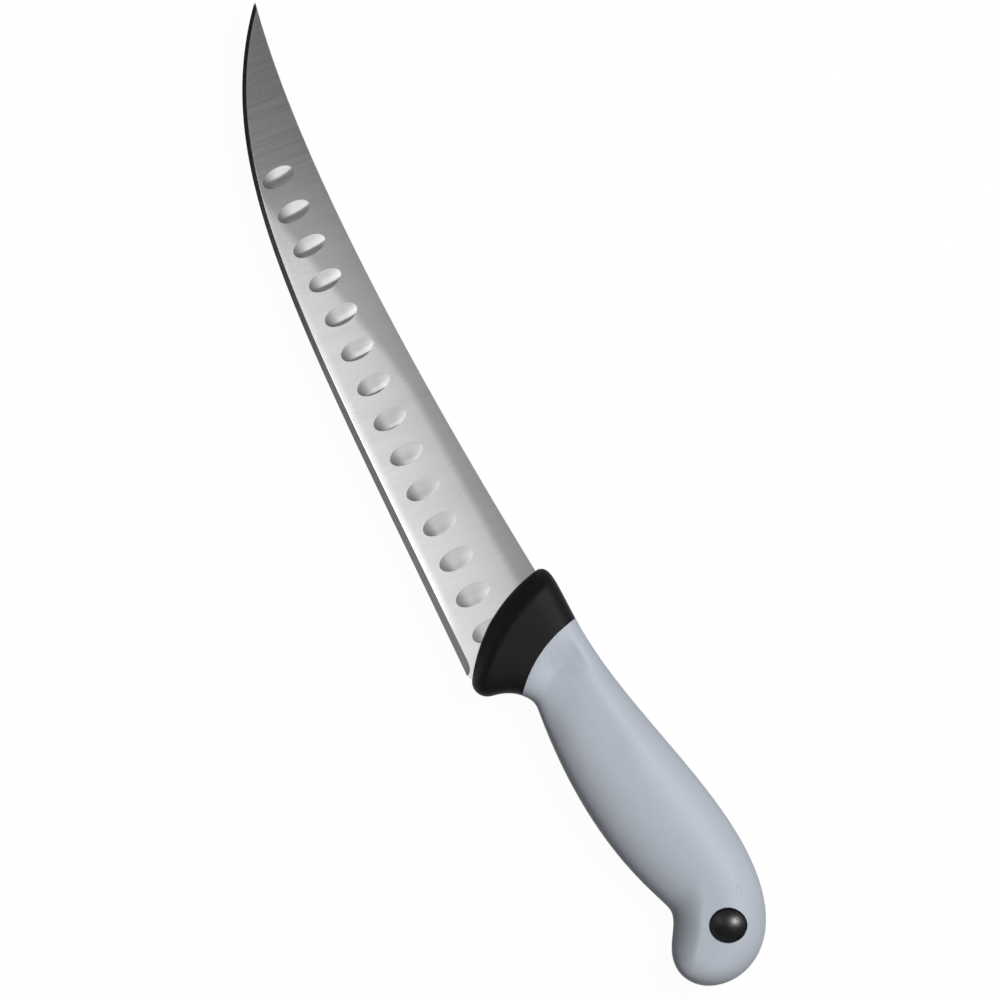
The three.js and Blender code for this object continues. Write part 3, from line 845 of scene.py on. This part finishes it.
# %% Plug profile
PLUG_CENTRE = BUTT + [-16.5, 6.4]
PLUG_RADIUS, SHANK_RADIUS, PIN_RADIUS = 5.95, 4.0, 2.0
PLUG_SLIM, PLUG_TURN = 0.915, math.radians(66)
DOME_RISE, RIM_DROP, RIM_THICK, PIN_REACH = 1.8, 1.4, 1.3, 5.0
CLEARANCE = 0.3
PLUG_SIDES = 96
CROWN_END, RIM_CORNER = 0.25, ((0.08, 0.13), (0.0, 0.35))
ABOVE_ALL = 40.0


def look_down(point):
    """Place and normal of the grip's face under a point."""
    _, place, normal, _ = grip.ray_cast(Vector(placed([*point, ABOVE_ALL])), Vector((0, 0, -1)))
    return place, normal


def face_height(point):
    """Height of the grip's face over the mid-plane at a point."""
    return look_down(point)[0].z / MM - shift[2]


plug_rim = face_height(PLUG_CENTRE) - RIM_DROP
plug_under = plug_rim - RIM_THICK + CLEARANCE


def plug_head():
    """Profile of a plug's head, from the top of its dome down to the shank."""
    sphere = (PLUG_RADIUS ** 2 + DOME_RISE ** 2) / (2 * DOME_RISE)
    opening = math.asin((PLUG_RADIUS - CROWN_END) / sphere)
    angle = np.linspace(0, opening, 22)
    crown = np.column_stack([sphere * np.sin(angle), plug_rim + DOME_RISE - sphere * (1 - np.cos(angle))])
    soft = [[PLUG_RADIUS - inwards, crown[-1, 1] - down] for inwards, down in RIM_CORNER]
    return [*crown.tolist(), *soft, [PLUG_RADIUS, plug_under], [SHANK_RADIUS, plug_under]]


def turned(name, profile, side):
    """A slimmed turned piece about the plug's axis: its profile runs down from the axis and back to it."""
    angle = 2 * np.pi * np.arange(PLUG_SIDES) / PLUG_SIDES
    wide = np.array([math.cos(PLUG_TURN), math.sin(PLUG_TURN)])
    slim = PLUG_SLIM * np.array([-wide[1], wide[0]])
    oval = np.outer(np.cos(angle), wide) + np.outer(np.sin(angle), slim)
    skin = Skin()
    loops = []
    for radius, height in profile:
        plan = PLUG_CENTRE + radius * oval
        loops.append(skin.add_points(np.column_stack([plan, np.full(PLUG_SIDES, side * height)])))
    for a, b in zip(loops, loops[1:]):
        skin.add_strip(a, b, FACE, closed=True)
    return new_piece(name, skin.points, skin.faces, CREASE)


hole, top = PIN_RADIUS + CLEARANCE, PIN_REACH + CLEARANCE
socket_profile = [*plug_head(), [SHANK_RADIUS, 0], [hole, 0], [hole, top], [0, top]]
pin_profile = [*plug_head(), [SHANK_RADIUS, CLEARANCE], [PIN_RADIUS, CLEARANCE],
               [PIN_RADIUS, -PIN_REACH], [0, -PIN_REACH]]
plug_left = turned("butt_plug_left_turned", socket_profile, 1)
plug_right = turned("butt_plug_right_turned", pin_profile, -1)
print("plug rim over the mid-plane, mm:", round(plug_rim, 2))

# %% [markdown]
# The hole in the grip is cut last: a bore for the shanks, a seat under each head, and the hollow that the
# core fills. The seat's mouth opens a little, because the mould leaves no razor edge there.

# %% Hollow and hole of the grip
MOUTH_WIDE, MOUTH_HIGH = 2.5, 2.6
MOUTH_CORNER = (0.28, 0.02), (0.08, 0.22), (0.0, 0.5)
SEAT_ROOM = 0.12
HOLLOW_FRONT, HOLLOW_END, HOLLOW_RING = 0.96, 0.61, 64
seat = plug_rim - RIM_THICK
mouth = face_height(PLUG_CENTRE)
seat_radius, bore_radius = PLUG_RADIUS + SEAT_ROOM, SHANK_RADIUS + CLEARANCE
mouth_corner = [[seat_radius + outwards, mouth - down] for outwards, down in MOUTH_CORNER]
seat_profile = [[seat_radius + MOUTH_WIDE, mouth + MOUTH_HIGH], *mouth_corner, [seat_radius, seat]]
bore_profile = [[bore_radius, height] for height in (seat, -seat)]
lower_profile = [[radius, -height] for radius, height in seat_profile[::-1]]
hollow_run = [(COLLAR, HOLLOW_FRONT)] + [(PALM, u) for u in np.linspace(0, 1, 13)[:-1]]
hollow_run += [(BUTT_END, u) for u in np.linspace(0, HOLLOW_END, 10)]
hollow = loft([ring(stretch, u, HOLLOW_RING, GRIP_WALL) for stretch, u in hollow_run])
hole_cutter = turned("cutter", [[0, seat_profile[0][1]], *seat_profile, *bore_profile, *lower_profile,
                                [0, lower_profile[-1][1]]], 1)
carve(grip, [cutter_from(hollow), hole_cutter], CREASE)
print("grip faces after cutting", len(grip.data.polygons))

# %% [markdown]
# Where the plastic was let into the mould, the grip keeps a gate mark: a shallow oval dimple on one face,
# along the bend of the butt. A flattened ball that is tilted with the face cuts it, a quarter of a
# millimetre deep.

# %% Gate mark
GATE_CENTRE, GATE_ANGLE = np.array([119.0, 13.55]), math.radians(-42)
GATE_LENGTH, GATE_WIDTH, GATE_DEPTH, GATE_BALL = 4.6, 2.2, 0.24, 0.8
gate_place, gate_normal = look_down(GATE_CENTRE)
gate_run = Vector((math.cos(GATE_ANGLE), math.sin(GATE_ANGLE), 0))
gate_run = (gate_run - gate_run.dot(gate_normal) * gate_normal).normalized()
gate_axes = Matrix((gate_run, gate_normal.cross(gate_run), gate_normal)).transposed().to_4x4()
gate_cut = math.sqrt(1 - (1 - GATE_DEPTH / GATE_BALL) ** 2)
gate_size = Vector((GATE_LENGTH / 2 / gate_cut, GATE_WIDTH / 2 / gate_cut, GATE_BALL)) * MM
gate_lift = gate_place + (GATE_BALL - GATE_DEPTH) * MM * gate_normal
ball = bmesh.new()
gate_form = Matrix.Translation(gate_lift) @ gate_axes @ Matrix.Diagonal(gate_size).to_4x4()
bmesh.ops.create_uvsphere(ball, u_segments=48, v_segments=48, radius=1, matrix=gate_form)
gate_mesh = bpy.data.meshes.new("cutter")
ball.to_mesh(gate_mesh)
ball.free()
carve(grip, [in_scene("cutter", gate_mesh)], CREASE)
print("grip faces with the gate mark", len(grip.data.polygons))

# %% [markdown]
# ## The tang
# Inside the handle the blade runs on as a tapered tang with three holes, which key it into the core. It is
# a flat outline with holes, so a filled 2D curve with some thickness is the shortest way to draw it.

# %% Tang
TANG_ROOT, TANG_ANGLE = np.array([16.0, -9.0]), math.radians(7)
TANG_LENGTH = (PLUG_CENTRE[0] - 28.5 - TANG_ROOT[0]) / math.cos(TANG_ANGLE)
TANG_HALF_ROOT, TANG_HALF_END, TANG_ROUND, TANG_OVERLAP = 7.0, 5.0, 3.0, 4.0
TANG_THICK = 2.1
TANG_HOLES, TANG_HOLE_RADIUS = np.linspace(24, TANG_LENGTH - 16, 3), 3.0


def tang_loops():
    """The tang's outline and its holes, along its own axis."""
    end, side = TANG_LENGTH, -TANG_HALF_END
    lower = bezier([[end - TANG_ROUND, side], [end, side], [end, side + TANG_ROUND]], 10)
    upper = (lower * [1, -1])[::-1]
    outline = [[-TANG_OVERLAP, TANG_HALF_ROOT], [-TANG_OVERLAP, -TANG_HALF_ROOT], *lower, *upper]
    angle = np.linspace(0, 2 * np.pi, 33)[:-1]
    circle = TANG_HOLE_RADIUS * np.column_stack([np.cos(angle), np.sin(angle)])
    return [np.array(outline)] + [circle + [along, 0] for along in TANG_HOLES]


drawing = bpy.data.curves.new("tang_outline", "CURVE")
drawing.dimensions, drawing.fill_mode, drawing.extrude = "2D", "BOTH", TANG_THICK / 2 * MM
for loop in tang_loops():
    spline = drawing.splines.new("POLY")
    spline.points.add(len(loop) - 1)
    for point, (x, y) in zip(spline.points, loop):
        point.co = (x * MM, y * MM, 0, 1)
    spline.use_cyclic_u = True
sketch = in_scene("tang_sketch", drawing)
tang_mesh = bpy.data.meshes.new_from_object(sketch.evaluated_get(bpy.context.evaluated_depsgraph_get()))
tang_mesh.transform(Matrix.Translation(placed([*TANG_ROOT, 0])) @ Matrix.Rotation(TANG_ANGLE, 4, "Z"))
bpy.data.curves.remove(drawing)
close_up(tang_mesh, PLAIN_CREASE)
steel = bmesh.new()
steel.from_mesh(blade.data)
steel.from_mesh(tang_mesh)
steel.to_mesh(blade.data)
steel.free()
bpy.data.meshes.remove(tang_mesh)
print("tang length, mm:", round(TANG_LENGTH, 1))

# %% [markdown]
# ## Finishes
# All finishes are node materials that read the place on the object, so they need no image and stay put when
# the view turns. A few small helpers keep the node code readable: one adds a node and plugs in its inputs,
# and the others give patterns that several finishes share.

# %% Node helpers
NOISE_LOW, NOISE_HIGH = 0.3, 0.7


def feed(tree, node, inputs):
    """Set a node's inputs, each to a number or to another node's output."""
    for key, value in inputs.items():
        if isinstance(value, bpy.types.NodeSocket):
            tree.links.new(value, node.inputs[key])
        else:
            node.inputs[key].default_value = value


def add(tree, kind, inputs, **settings):
    """One shader node of a kind, with its settings and inputs."""
    node = tree.nodes.new("ShaderNode" + kind)
    for key, value in settings.items():
        setattr(node, key, value)
    feed(tree, node, inputs)
    return node


def calc(tree, operation, *values):
    """One step of arithmetic on numbers and outputs."""
    return add(tree, "Math", dict(enumerate(values)), operation=operation).outputs[0]


def ramp(tree, value, low, high, start=0.0, end=1.0):
    """A smooth change from start, where a value in metres is low millimetres, to end, where it is high."""
    inputs = {"Value": value, "From Min": low * MM, "From Max": high * MM, "To Min": start, "To Max": end}
    return add(tree, "MapRange", inputs, interpolation_type="SMOOTHSTEP").outputs["Result"]


def new_finish(name, inputs):
    """A material with a Principled shader whose plain inputs are set."""
    material = bpy.data.materials.new(name)
    material.use_nodes = True
    tree = material.node_tree
    feed(tree, tree.nodes["Principled BSDF"], inputs)
    return material, tree, tree.nodes["Principled BSDF"]


def here(tree):
    """The place on the object, in metres."""
    return add(tree, "TexCoord", {}).outputs["Object"]


def speckle(tree, size_mm, detail=2.0, vector=None):
    """Soft cloudy noise with blotches of about the given size."""
    inputs = {"Vector": vector or here(tree), "Scale": 1000 / size_mm, "Detail": detail}
    return add(tree, "TexNoise", inputs).outputs["Fac"]


def spread(tree, value, low, high):
    """Stretch noise, which mostly lies in the middle, to a range."""
    inputs = {"Value": value, "From Min": NOISE_LOW, "From Max": NOISE_HIGH, "To Min": low, "To Max": high}
    return add(tree, "MapRange", inputs).outputs["Result"]


def tint(tree, share, low, high):
    """A colour between two, by share."""
    mix = add(tree, "Mix", {"Factor": share}, data_type="RGBA")
    mix.inputs[6].default_value, mix.inputs[7].default_value = (*low, 1), (*high, 1)
    return mix.outputs[2]


def relief(tree, height, depth_mm, strength=1.0):
    """A fine relief for the shader's normal."""
    inputs = {"Height": height, "Distance": depth_mm * MM, "Strength": strength}
    return add(tree, "Bump", inputs).outputs["Normal"]


# %% [markdown]
# ### Ground steel
# The faces are ground across the blade, so they carry fine lines that run from spine to edge and lean a
# little. Lines blur a reflection across themselves and leave it sharp along themselves, which is the
# shader's anisotropy: it needs a direction, and a UV map with U along the blade gives it. The bowls and the
# bevel are ground with finer wheels.

# %% Grinding direction
grain_map = blade.data.uv_layers.new(name="grain")
for loop in blade.data.loops:
    grain_map.data[loop.index].uv = blade.data.vertices[loop.vertex_index].co.xy
print("grain map over", len(blade.data.loops), "corners")


def grinding(tree, line_mm, run_mm, lean_degrees):
    """Fine lines across the blade, of a width and a length."""
    turned = add(tree, "VectorRotate", {"Vector": here(tree), "Angle": math.radians(lean_degrees)},
                 rotation_type="Z_AXIS")
    pull = (1 / line_mm, 1 / run_mm, 1 / line_mm)
    return speckle(tree, 1.0, 3.0, add(tree, "VectorMath", {0: turned.outputs[0], 1: pull},
                                       operation="MULTIPLY").outputs[0])


# %% [markdown]
# The lower part of each face is ground finer below the grind line, and its colour is painted lighter there.
# This is partly the finer grind and partly a painted reflection of the light over the blade. A mask tells
# the two parts apart by the distance to the two pieces of the grind line. A second mask follows the bowls
# and paints them lighter towards the tip, which is a painted reflection.

# %% Finer ground parts and painted reflection
LINE_SOFT, BEND_SOFT = 1.8, 3
PAINTED_REFLECTION_RUN = (-25, -110)


def beside(tree, start, end):
    """Distance to the edge side of a line between two drawing points."""
    a, b = placed([*start, 0])[:2], placed([*end, 0])[:2]
    run = (b - a) / np.linalg.norm(b - a)
    outward = (float(run[1]), float(-run[0]), 0.0)
    along = add(tree, "VectorMath", {0: here(tree), 1: outward}, operation="DOT_PRODUCT").outputs["Value"]
    return calc(tree, "SUBTRACT", along, float(np.dot(a, outward[:2])))


def finer_ground_and_painted_reflection(tree):
    """1 below the soft grind line, 0 above it: where the face is painted lighter, partly for its finer
    grind and partly as painted reflection.
    """
    sides = [beside(tree, a, b) for a, b in zip(GRIND_LINE, GRIND_LINE[1:])]
    return ramp(tree, calc(tree, "SMOOTH_MIN", *sides, BEND_SOFT * MM), -LINE_SOFT, LINE_SOFT)


def painted_reflection_towards_tip(tree):
    """0 at the heel, rising to 1 in the front half of the blade: where the bowls get a painted reflection.
    """
    along = add(tree, "SeparateXYZ", {0: here(tree)}).outputs[0]
    return ramp(tree, along, *[x + shift[0] for x in PAINTED_REFLECTION_RUN])


# %% [markdown]
# All steel shares one recipe: fine and broad lines vary the colour, and the fine ones vary the roughness
# and the relief too. Face and bowls are anisotropic. The bevel and the honed strip have short strokes and
# reflect evenly.

# %% Steel finishes
SHADE_VARIES, STEEL_VARIES = (0.93, 1.05), (0.88, 1.12)
BROAD_WIDTH, BROAD_RUN = 6, 2


def shades(tree, share, shade):
    """A steel colour that varies a little around a shade."""
    return tint(tree, share, *[np.multiply(shade, level) for level in SHADE_VARIES])


def ground_steel(name, roughness, anisotropy, shade, lines, groove_mm, where=None, lighter_shade_with_painted_reflection=None):
    """Ground steel: lines of a width, run and lean vary its colour, roughness and relief."""
    material, tree, shader = new_finish(name, {"Metallic": 1.0, "Anisotropic": anisotropy})
    width, run, lean = lines
    fine, broad = grinding(tree, *lines), grinding(tree, BROAD_WIDTH * width, BROAD_RUN * run, lean)
    share = spread(tree, calc(tree, "MULTIPLY", calc(tree, "ADD", fine, broad), 0.5), 0, 1)
    colour = shades(tree, share, shade)
    # A second, lighter shade over a mask. On the bowls towards the tip it is painted reflection. On the
    # face's lower part it is partly the finer grind and partly painted reflection.
    if where:
        mix = add(tree, "Mix", {"Factor": where(tree)}, data_type="RGBA")
        feed(tree, mix, {6: colour, 7: shades(tree, share, lighter_shade_with_painted_reflection)})
        colour = mix.outputs[2]
    along = add(tree, "Tangent", {}, direction_type="UV_MAP", uv_map="grain")
    feed(tree, shader, {
        "Base Color": colour,
        "Roughness": spread(tree, fine, *[roughness * level for level in STEEL_VARIES]),
        "Normal": relief(tree, fine, groove_mm),
        "Tangent": along.outputs[0],
    })
    return material


# The face's lower part is painted lighter: partly its finer grind, partly painted reflection.
face_steel = ground_steel("steel_cross_ground_painted_reflection", roughness=0.28, anisotropy=0.75,
                          shade=(0.485, 0.487, 0.492), lines=(0.8, 70, 5), groove_mm=0.0006,
                          where=finer_ground_and_painted_reflection, lighter_shade_with_painted_reflection=(0.715, 0.719, 0.727))
# The bowls are painted lighter towards the tip: a painted reflection.
bowl_steel = ground_steel("steel_scallop_painted_reflection", roughness=0.12, anisotropy=0.4,
                          shade=(0.54, 0.543, 0.55), lines=(0.5, 25, 5), groove_mm=0.0003,
                          where=painted_reflection_towards_tip, lighter_shade_with_painted_reflection=(0.65, 0.653, 0.66))
bevel_steel = ground_steel("steel_bevel", roughness=0.16, anisotropy=0.0,
                           shade=(0.6, 0.603, 0.61), lines=(0.25, 5, 0), groove_mm=0.0006)
honed_steel = ground_steel("steel_honed", roughness=0.14, anisotropy=0.0,
                           shade=(0.78, 0.784, 0.79), lines=(0.25, 5, 0), groove_mm=0.0002)
for steel_finish in (face_steel, bowl_steel, bevel_steel, honed_steel):
    blade.data.materials.append(steel_finish)
print("blade finishes:", [m.name for m in blade.data.materials])

# %% [markdown]
# ### Mouldings
# The grip is a matt blue-grey plastic with the fine grain of an eroded mould: soft dimples of about half a
# millimetre, and a faint cloudiness. The collar is a harder, satin black plastic. The plug is polished. All
# are one recipe with other numbers, because a mould gives each of them some grain.

# %% Moulded finishes
FINE_CLOUD, MOULD_VARIES = 1.2, (0.9, 1.1)


def moulding(name, low, high, roughness, gloss, dimple_mm, depth_mm, cloud_mm):
    """Moulded plastic: cloudy between two colours, with the dimples of the mould."""
    material, tree, shader = new_finish(name, {"Specular IOR Level": gloss})
    dimples = speckle(tree, dimple_mm, 2.0)
    cloud = calc(tree, "ADD", speckle(tree, cloud_mm, 4.0), speckle(tree, FINE_CLOUD, 2.0))
    share = calc(tree, "MULTIPLY", cloud, 0.5)
    feed(tree, shader, {
        "Base Color": tint(tree, spread(tree, share, 0, 1), low, high),
        "Roughness": spread(tree, dimples, *[roughness * level for level in MOULD_VARIES]),
        "Normal": relief(tree, dimples, depth_mm),
    })
    return material


grip_grey = moulding("grip_matt_grey", (0.442, 0.476, 0.537), (0.468, 0.505, 0.567),
                     roughness=0.56, gloss=0.4, dimple_mm=0.5, depth_mm=0.019, cloud_mm=9)
collar_black = moulding("collar_satin_black", (0.005, 0.005, 0.0054), (0.008, 0.008, 0.0087),
                        roughness=0.56, gloss=0.13, dimple_mm=0.4, depth_mm=0.004, cloud_mm=5)
plug_black = moulding("plug_polished_black", (0.004, 0.004, 0.0045), (0.006, 0.006, 0.0065),
                      roughness=0.35, gloss=0.5, dimple_mm=0.8, depth_mm=0.0015, cloud_mm=3)
core_dark = moulding("core_plain_dark", (0.022, 0.023, 0.027), (0.03, 0.031, 0.036),
                     roughness=0.6, gloss=0.5, dimple_mm=0.7, depth_mm=0.01, cloud_mm=6)
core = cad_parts["handle_core"]
core.data.materials.clear()
for piece, finish in ((grip, grip_grey), (collar, collar_black), (plug_left, plug_black),
                      (plug_right, plug_black), (core, core_dark)):
    piece.data.materials.append(finish)
    print(piece.name, "is finished with", finish.name)

# %% [markdown]
# ## Joining the frame
# Each piece rides on the knife's one body and stands for its CAD node.

# %% Ride and replace
for piece, cad_node, slot in (
    (blade, "blade", "blade_steel"),
    (collar, "front_collar", "collar_black"),
    (grip, "grip", "grip_grey"),
    (plug_left, "butt_plug_left", "plug_black"),
    (plug_right, "butt_plug_right", "plug_black"),
):
    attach(piece, "root")
    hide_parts(cad_node)
    print(piece.name, "stands for", cad_node)

# %% [markdown]
# ## The stage
# The knife lies on a white floor. Straight light from the floor would fill the dark side of the grip, so
# the floor gives back little light to the object, while the camera and reflections see it nearly white with
# a soft shadow.

# %% Floor
def plate(name, low, high, height):
    """A flat stage mesh between two corners."""
    corners = [(low[0], low[1]), (high[0], low[1]), (high[0], high[1]), (low[0], high[1])]
    mesh = bpy.data.meshes.new(name)
    mesh.from_pydata([(x, y, height) for x, y in corners], [], [(0, 1, 2, 3)])
    made = in_scene(name, mesh)
    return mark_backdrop(made) or made


def blank(owner):
    """The emptied node tree of a material or a world."""
    owner.use_nodes = True
    owner.node_tree.nodes.clear()
    return owner.node_tree


FLOOR_WHITE, FLOOR_GLOW, FLOOR_BOUNCE = 0.97, 0.97, 0.12
FLOOR_REACH, FLOOR_HEIGHT = 3, -0.0003
floor = plate("studio_floor", (-FLOOR_REACH,) * 2, (FLOOR_REACH,) * 2, FLOOR_HEIGHT)
floor_paint = bpy.data.materials.new("studio_floor_paint")
tree = blank(floor_paint)
rays = add(tree, "LightPath", {}).outputs
seen = calc(tree, "MAXIMUM", rays["Is Camera Ray"], rays["Is Glossy Ray"])
seen = calc(tree, "MAXIMUM", seen, rays["Is Transmission Ray"])
paint = add(tree, "BsdfDiffuse", {"Color": tint(tree, seen, (FLOOR_BOUNCE,) * 3, (FLOOR_WHITE,) * 3)})
glow = add(tree, "Emission", {"Color": (1, 1, 1, 1), "Strength": 1.0})
share = calc(tree, "MULTIPLY", seen, FLOOR_GLOW)
mix = add(tree, "MixShader", {0: share, 1: paint.outputs[0], 2: glow.outputs[0]})
add(tree, "OutputMaterial", {"Surface": mix.outputs[0]})
floor.data.materials.append(floor_paint)
print("floor paint nodes:", len(tree.nodes))

# %% [markdown]
# ## Light
# Polished steel shows what hangs over it. A photographer hangs a sheet of diffuser there and lights it from
# behind, brighter on one side. The sheet here does the same, but shows only in reflections. Its glow is
# drawn in its own plane: bright over the edge side, dim over the tip and over the spine, with a bright
# corner for the line beside the bevel. Levels across the blade come from a colour ramp, and smooth steps
# along the blade change them.

# %% Diffuser over the blade
SHEET_HEIGHT = 0.162
SHEET_CORNERS = (-0.32, -0.2), (0.13, 0.07)
GLOW_STOPS = [(-70, 0.3), (-64, 2.0), (-56, 2.0), (-50, 1.55), (-44, 1.2), (-37, 0.95), (-28, 0.82),
              (-18, 0.9), (-12, 0.84), (-6, 0.58), (0, 0.44)]
GLOW_FULL = 2.0
sheet = plate("studio_diffuser", *SHEET_CORNERS, SHEET_HEIGHT)
sheet.visible_camera = False
sheet.visible_shadow = False
sheet.visible_diffuse = False
sheet_glow = bpy.data.materials.new("studio_diffuser_glow")
tree = blank(sheet_glow)
sheet_xyz = add(tree, "SeparateXYZ", {0: here(tree)})
sheet_x, sheet_y = sheet_xyz.outputs[0], sheet_xyz.outputs[1]
first, last = GLOW_STOPS[0][0], GLOW_STOPS[-1][0]
place = add(tree, "MapRange", {"Value": sheet_y, "From Min": first * MM, "From Max": last * MM})
profile = add(tree, "ValToRGB", {"Fac": place.outputs["Result"]})
stops = profile.color_ramp.elements
while len(stops) < len(GLOW_STOPS):
    stops.new(0.5)
for stop, (y, glow_level) in zip(stops, GLOW_STOPS):
    stop.position = (y - first) / (last - first)
    stop.color = (*[glow_level / GLOW_FULL] * 3, 1)
across = calc(tree, "MULTIPLY", profile.outputs["Color"], GLOW_FULL)
print("glow across the blade has", len(stops), "stops")

# %% [markdown]
# ### Glow along the blade
# Each zone has a border that is a smooth step, and its own glow on the far side of the border. Pairs of
# numbers are the two ends of a step in millimetres. Fours also give the glow at both ends.

# %% Zones of the diffuser
TIP_BORDER, TIP_GLOW = (-117, -109), (-200, -150, 0.33, 0.24)
CORNER_RUN, CORNER_LINE, CORNER_BORDER, CORNER_GLOW = (-140, -130), (0.24, 1.0, 0.0), (-83, -77), 1.8
FRONT_RUN, FRONT_UPPER, FRONT_LOWER = (-80, -56), (-21, -14), (-52, -42)
GAIN_UPPER, GAIN_MIDDLE, GAIN_LOWER = 1.1, 1.34, 0.55
BACK_RUN, BACK_GAIN = (-20, 10), 1.13
BUTT_BORDER, BUTT_GLOW = (98, 128), 0.14
SPINE_BORDER, SPINE_GLOW = (-2, 12), (-130, 60, 0.16, 0.34)
LOW_BORDER, LOW_RUN = (-72, -64), (-105, -55)
LOW_TIP_GLOW, LOW_HEEL_GLOW = (-160, -112, 0.017, 0.05), (-60, 40, 0.19, 0.29)


def zoned(value, border, low, high):
    """Low on one side of a border, high on the other."""
    return add(tree, "Mix", {"Factor": ramp(tree, value, *border), 2: low, 3: high}).outputs[0]


lean = add(tree, "VectorMath", {0: here(tree), 1: CORNER_LINE}, operation="DOT_PRODUCT").outputs["Value"]
dim_tip = ramp(tree, sheet_x, *TIP_GLOW)
corner = zoned(sheet_x, CORNER_RUN, dim_tip, CORNER_GLOW)
far_tip = zoned(lean, CORNER_BORDER, corner, dim_tip)
front = zoned(sheet_y, FRONT_UPPER, GAIN_MIDDLE, GAIN_UPPER)
front = zoned(sheet_x, FRONT_RUN, zoned(sheet_y, FRONT_LOWER, GAIN_LOWER, front), 1.0)
back = zoned(sheet_x, BACK_RUN, 1.0, BACK_GAIN)
across = calc(tree, "MULTIPLY", calc(tree, "MULTIPLY", across, front), back)
level = zoned(sheet_x, TIP_BORDER, far_tip, across)
level = zoned(sheet_x, BUTT_BORDER, level, BUTT_GLOW)
level = zoned(sheet_y, SPINE_BORDER, level, ramp(tree, sheet_x, *SPINE_GLOW))
low_zone = zoned(sheet_x, LOW_RUN, ramp(tree, sheet_x, *LOW_TIP_GLOW), ramp(tree, sheet_x, *LOW_HEEL_GLOW))
level = zoned(sheet_y, LOW_BORDER, low_zone, level)
light = add(tree, "Emission", {"Strength": level})
add(tree, "OutputMaterial", {"Surface": light.outputs[0]})
sheet.data.materials.append(sheet_glow)
print("diffuser nodes:", len(tree.nodes))

# %% [markdown]
# ### Lamp
# A round softbox from the spine side shapes the grip: it leaves the flank on the edge side in shade. It is
# large and far enough for a soft turn from light to shade, as on the real moulding.

# %% Lamp from the spine side
KEY_SIZE, KEY_WATTS, KEY_DISTANCE = 0.4, 15.6, 1.3
KEY_TARGET, KEY_TOWARDS = (0.09, 0.0, 0.012), (-0.01, 0.49, 0.8717)
key_light = bpy.data.lights.new("key_softbox", "AREA")
key_light.shape, key_light.size, key_light.energy = "DISK", KEY_SIZE, KEY_WATTS
key = in_scene("key_softbox", key_light)
target, towards = Vector(KEY_TARGET), Vector(KEY_TOWARDS)
key.location = target + KEY_DISTANCE * towards
key.rotation_euler = towards.to_track_quat("Z", "Y").to_euler()
print("lamp at, m:", [round(v, 2) for v in key.location])

# %% [markdown]
# ### Room
# The rest of the studio is a dim room that is a little brighter behind the butt. The camera sees plain
# white there.

# %% Room
ROOM_DIM, ROOM_BRIGHT = 0.01, 0.19
world = bpy.data.worlds.new("studio_room")
bpy.context.scene.world = world
tree = blank(world)
facing = add(tree, "TexCoord", {}).outputs["Generated"]
lean = add(tree, "VectorMath", {0: facing, 1: (1.0, 0.0, 0.0)}, operation="DOT_PRODUCT").outputs["Value"]
room = add(tree, "MapRange", {"Value": lean, "From Min": -1, "From Max": 1,
                               "To Min": ROOM_DIM, "To Max": ROOM_BRIGHT})
ray = add(tree, "LightPath", {})
shown = add(tree, "Background", {"Color": (1, 1, 1, 1), "Strength": 1.0})
around = add(tree, "Background", {"Color": (1, 1, 1, 1), "Strength": room.outputs[0]})
mix = add(tree, "MixShader", {0: ray.outputs["Is Camera Ray"], 1: around.outputs[0], 2: shown.outputs[0]})
add(tree, "OutputWorld", {"Surface": mix.outputs[0]})
print("room light, dim to bright side:", ROOM_DIM, ROOM_BRIGHT)

# %% [markdown]
# ## Camera
# The picture is taken straight from above with a long lens, and the knife lies at an angle across the
# square frame. The lens is worked out from the width of a pixel on the knife, so the knife comes out at the
# photograph's size.

# %% Camera
MM_PER_PIXEL, PIXELS = 0.3163026, 1000
CAMERA_RISE = 3.0
AIM = (-24.69, -0.247, 0)
SENSOR = 36
COSINE, SINE = 0.43675521, 0.89958039
right, up = Vector((COSINE, SINE, 0)), Vector((-SINE, COSINE, 0))
lens = bpy.data.cameras.new("camera")
lens.sensor_width, lens.sensor_fit = SENSOR, "HORIZONTAL"
lens.lens = SENSOR * CAMERA_RISE / (PIXELS * MM_PER_PIXEL * MM)
camera = in_scene("camera", lens)
middle = Vector(placed(AIM))
turn = Matrix((right, up, Vector((0, 0, 1)))).transposed().to_4x4()
camera.matrix_world = Matrix.Translation(middle + Vector((0, 0, CAMERA_RISE))) @ turn
bpy.context.scene.camera = camera
bpy.context.scene.view_settings.view_transform = "Standard"
print("lens, mm:", round(lens.lens, 1))
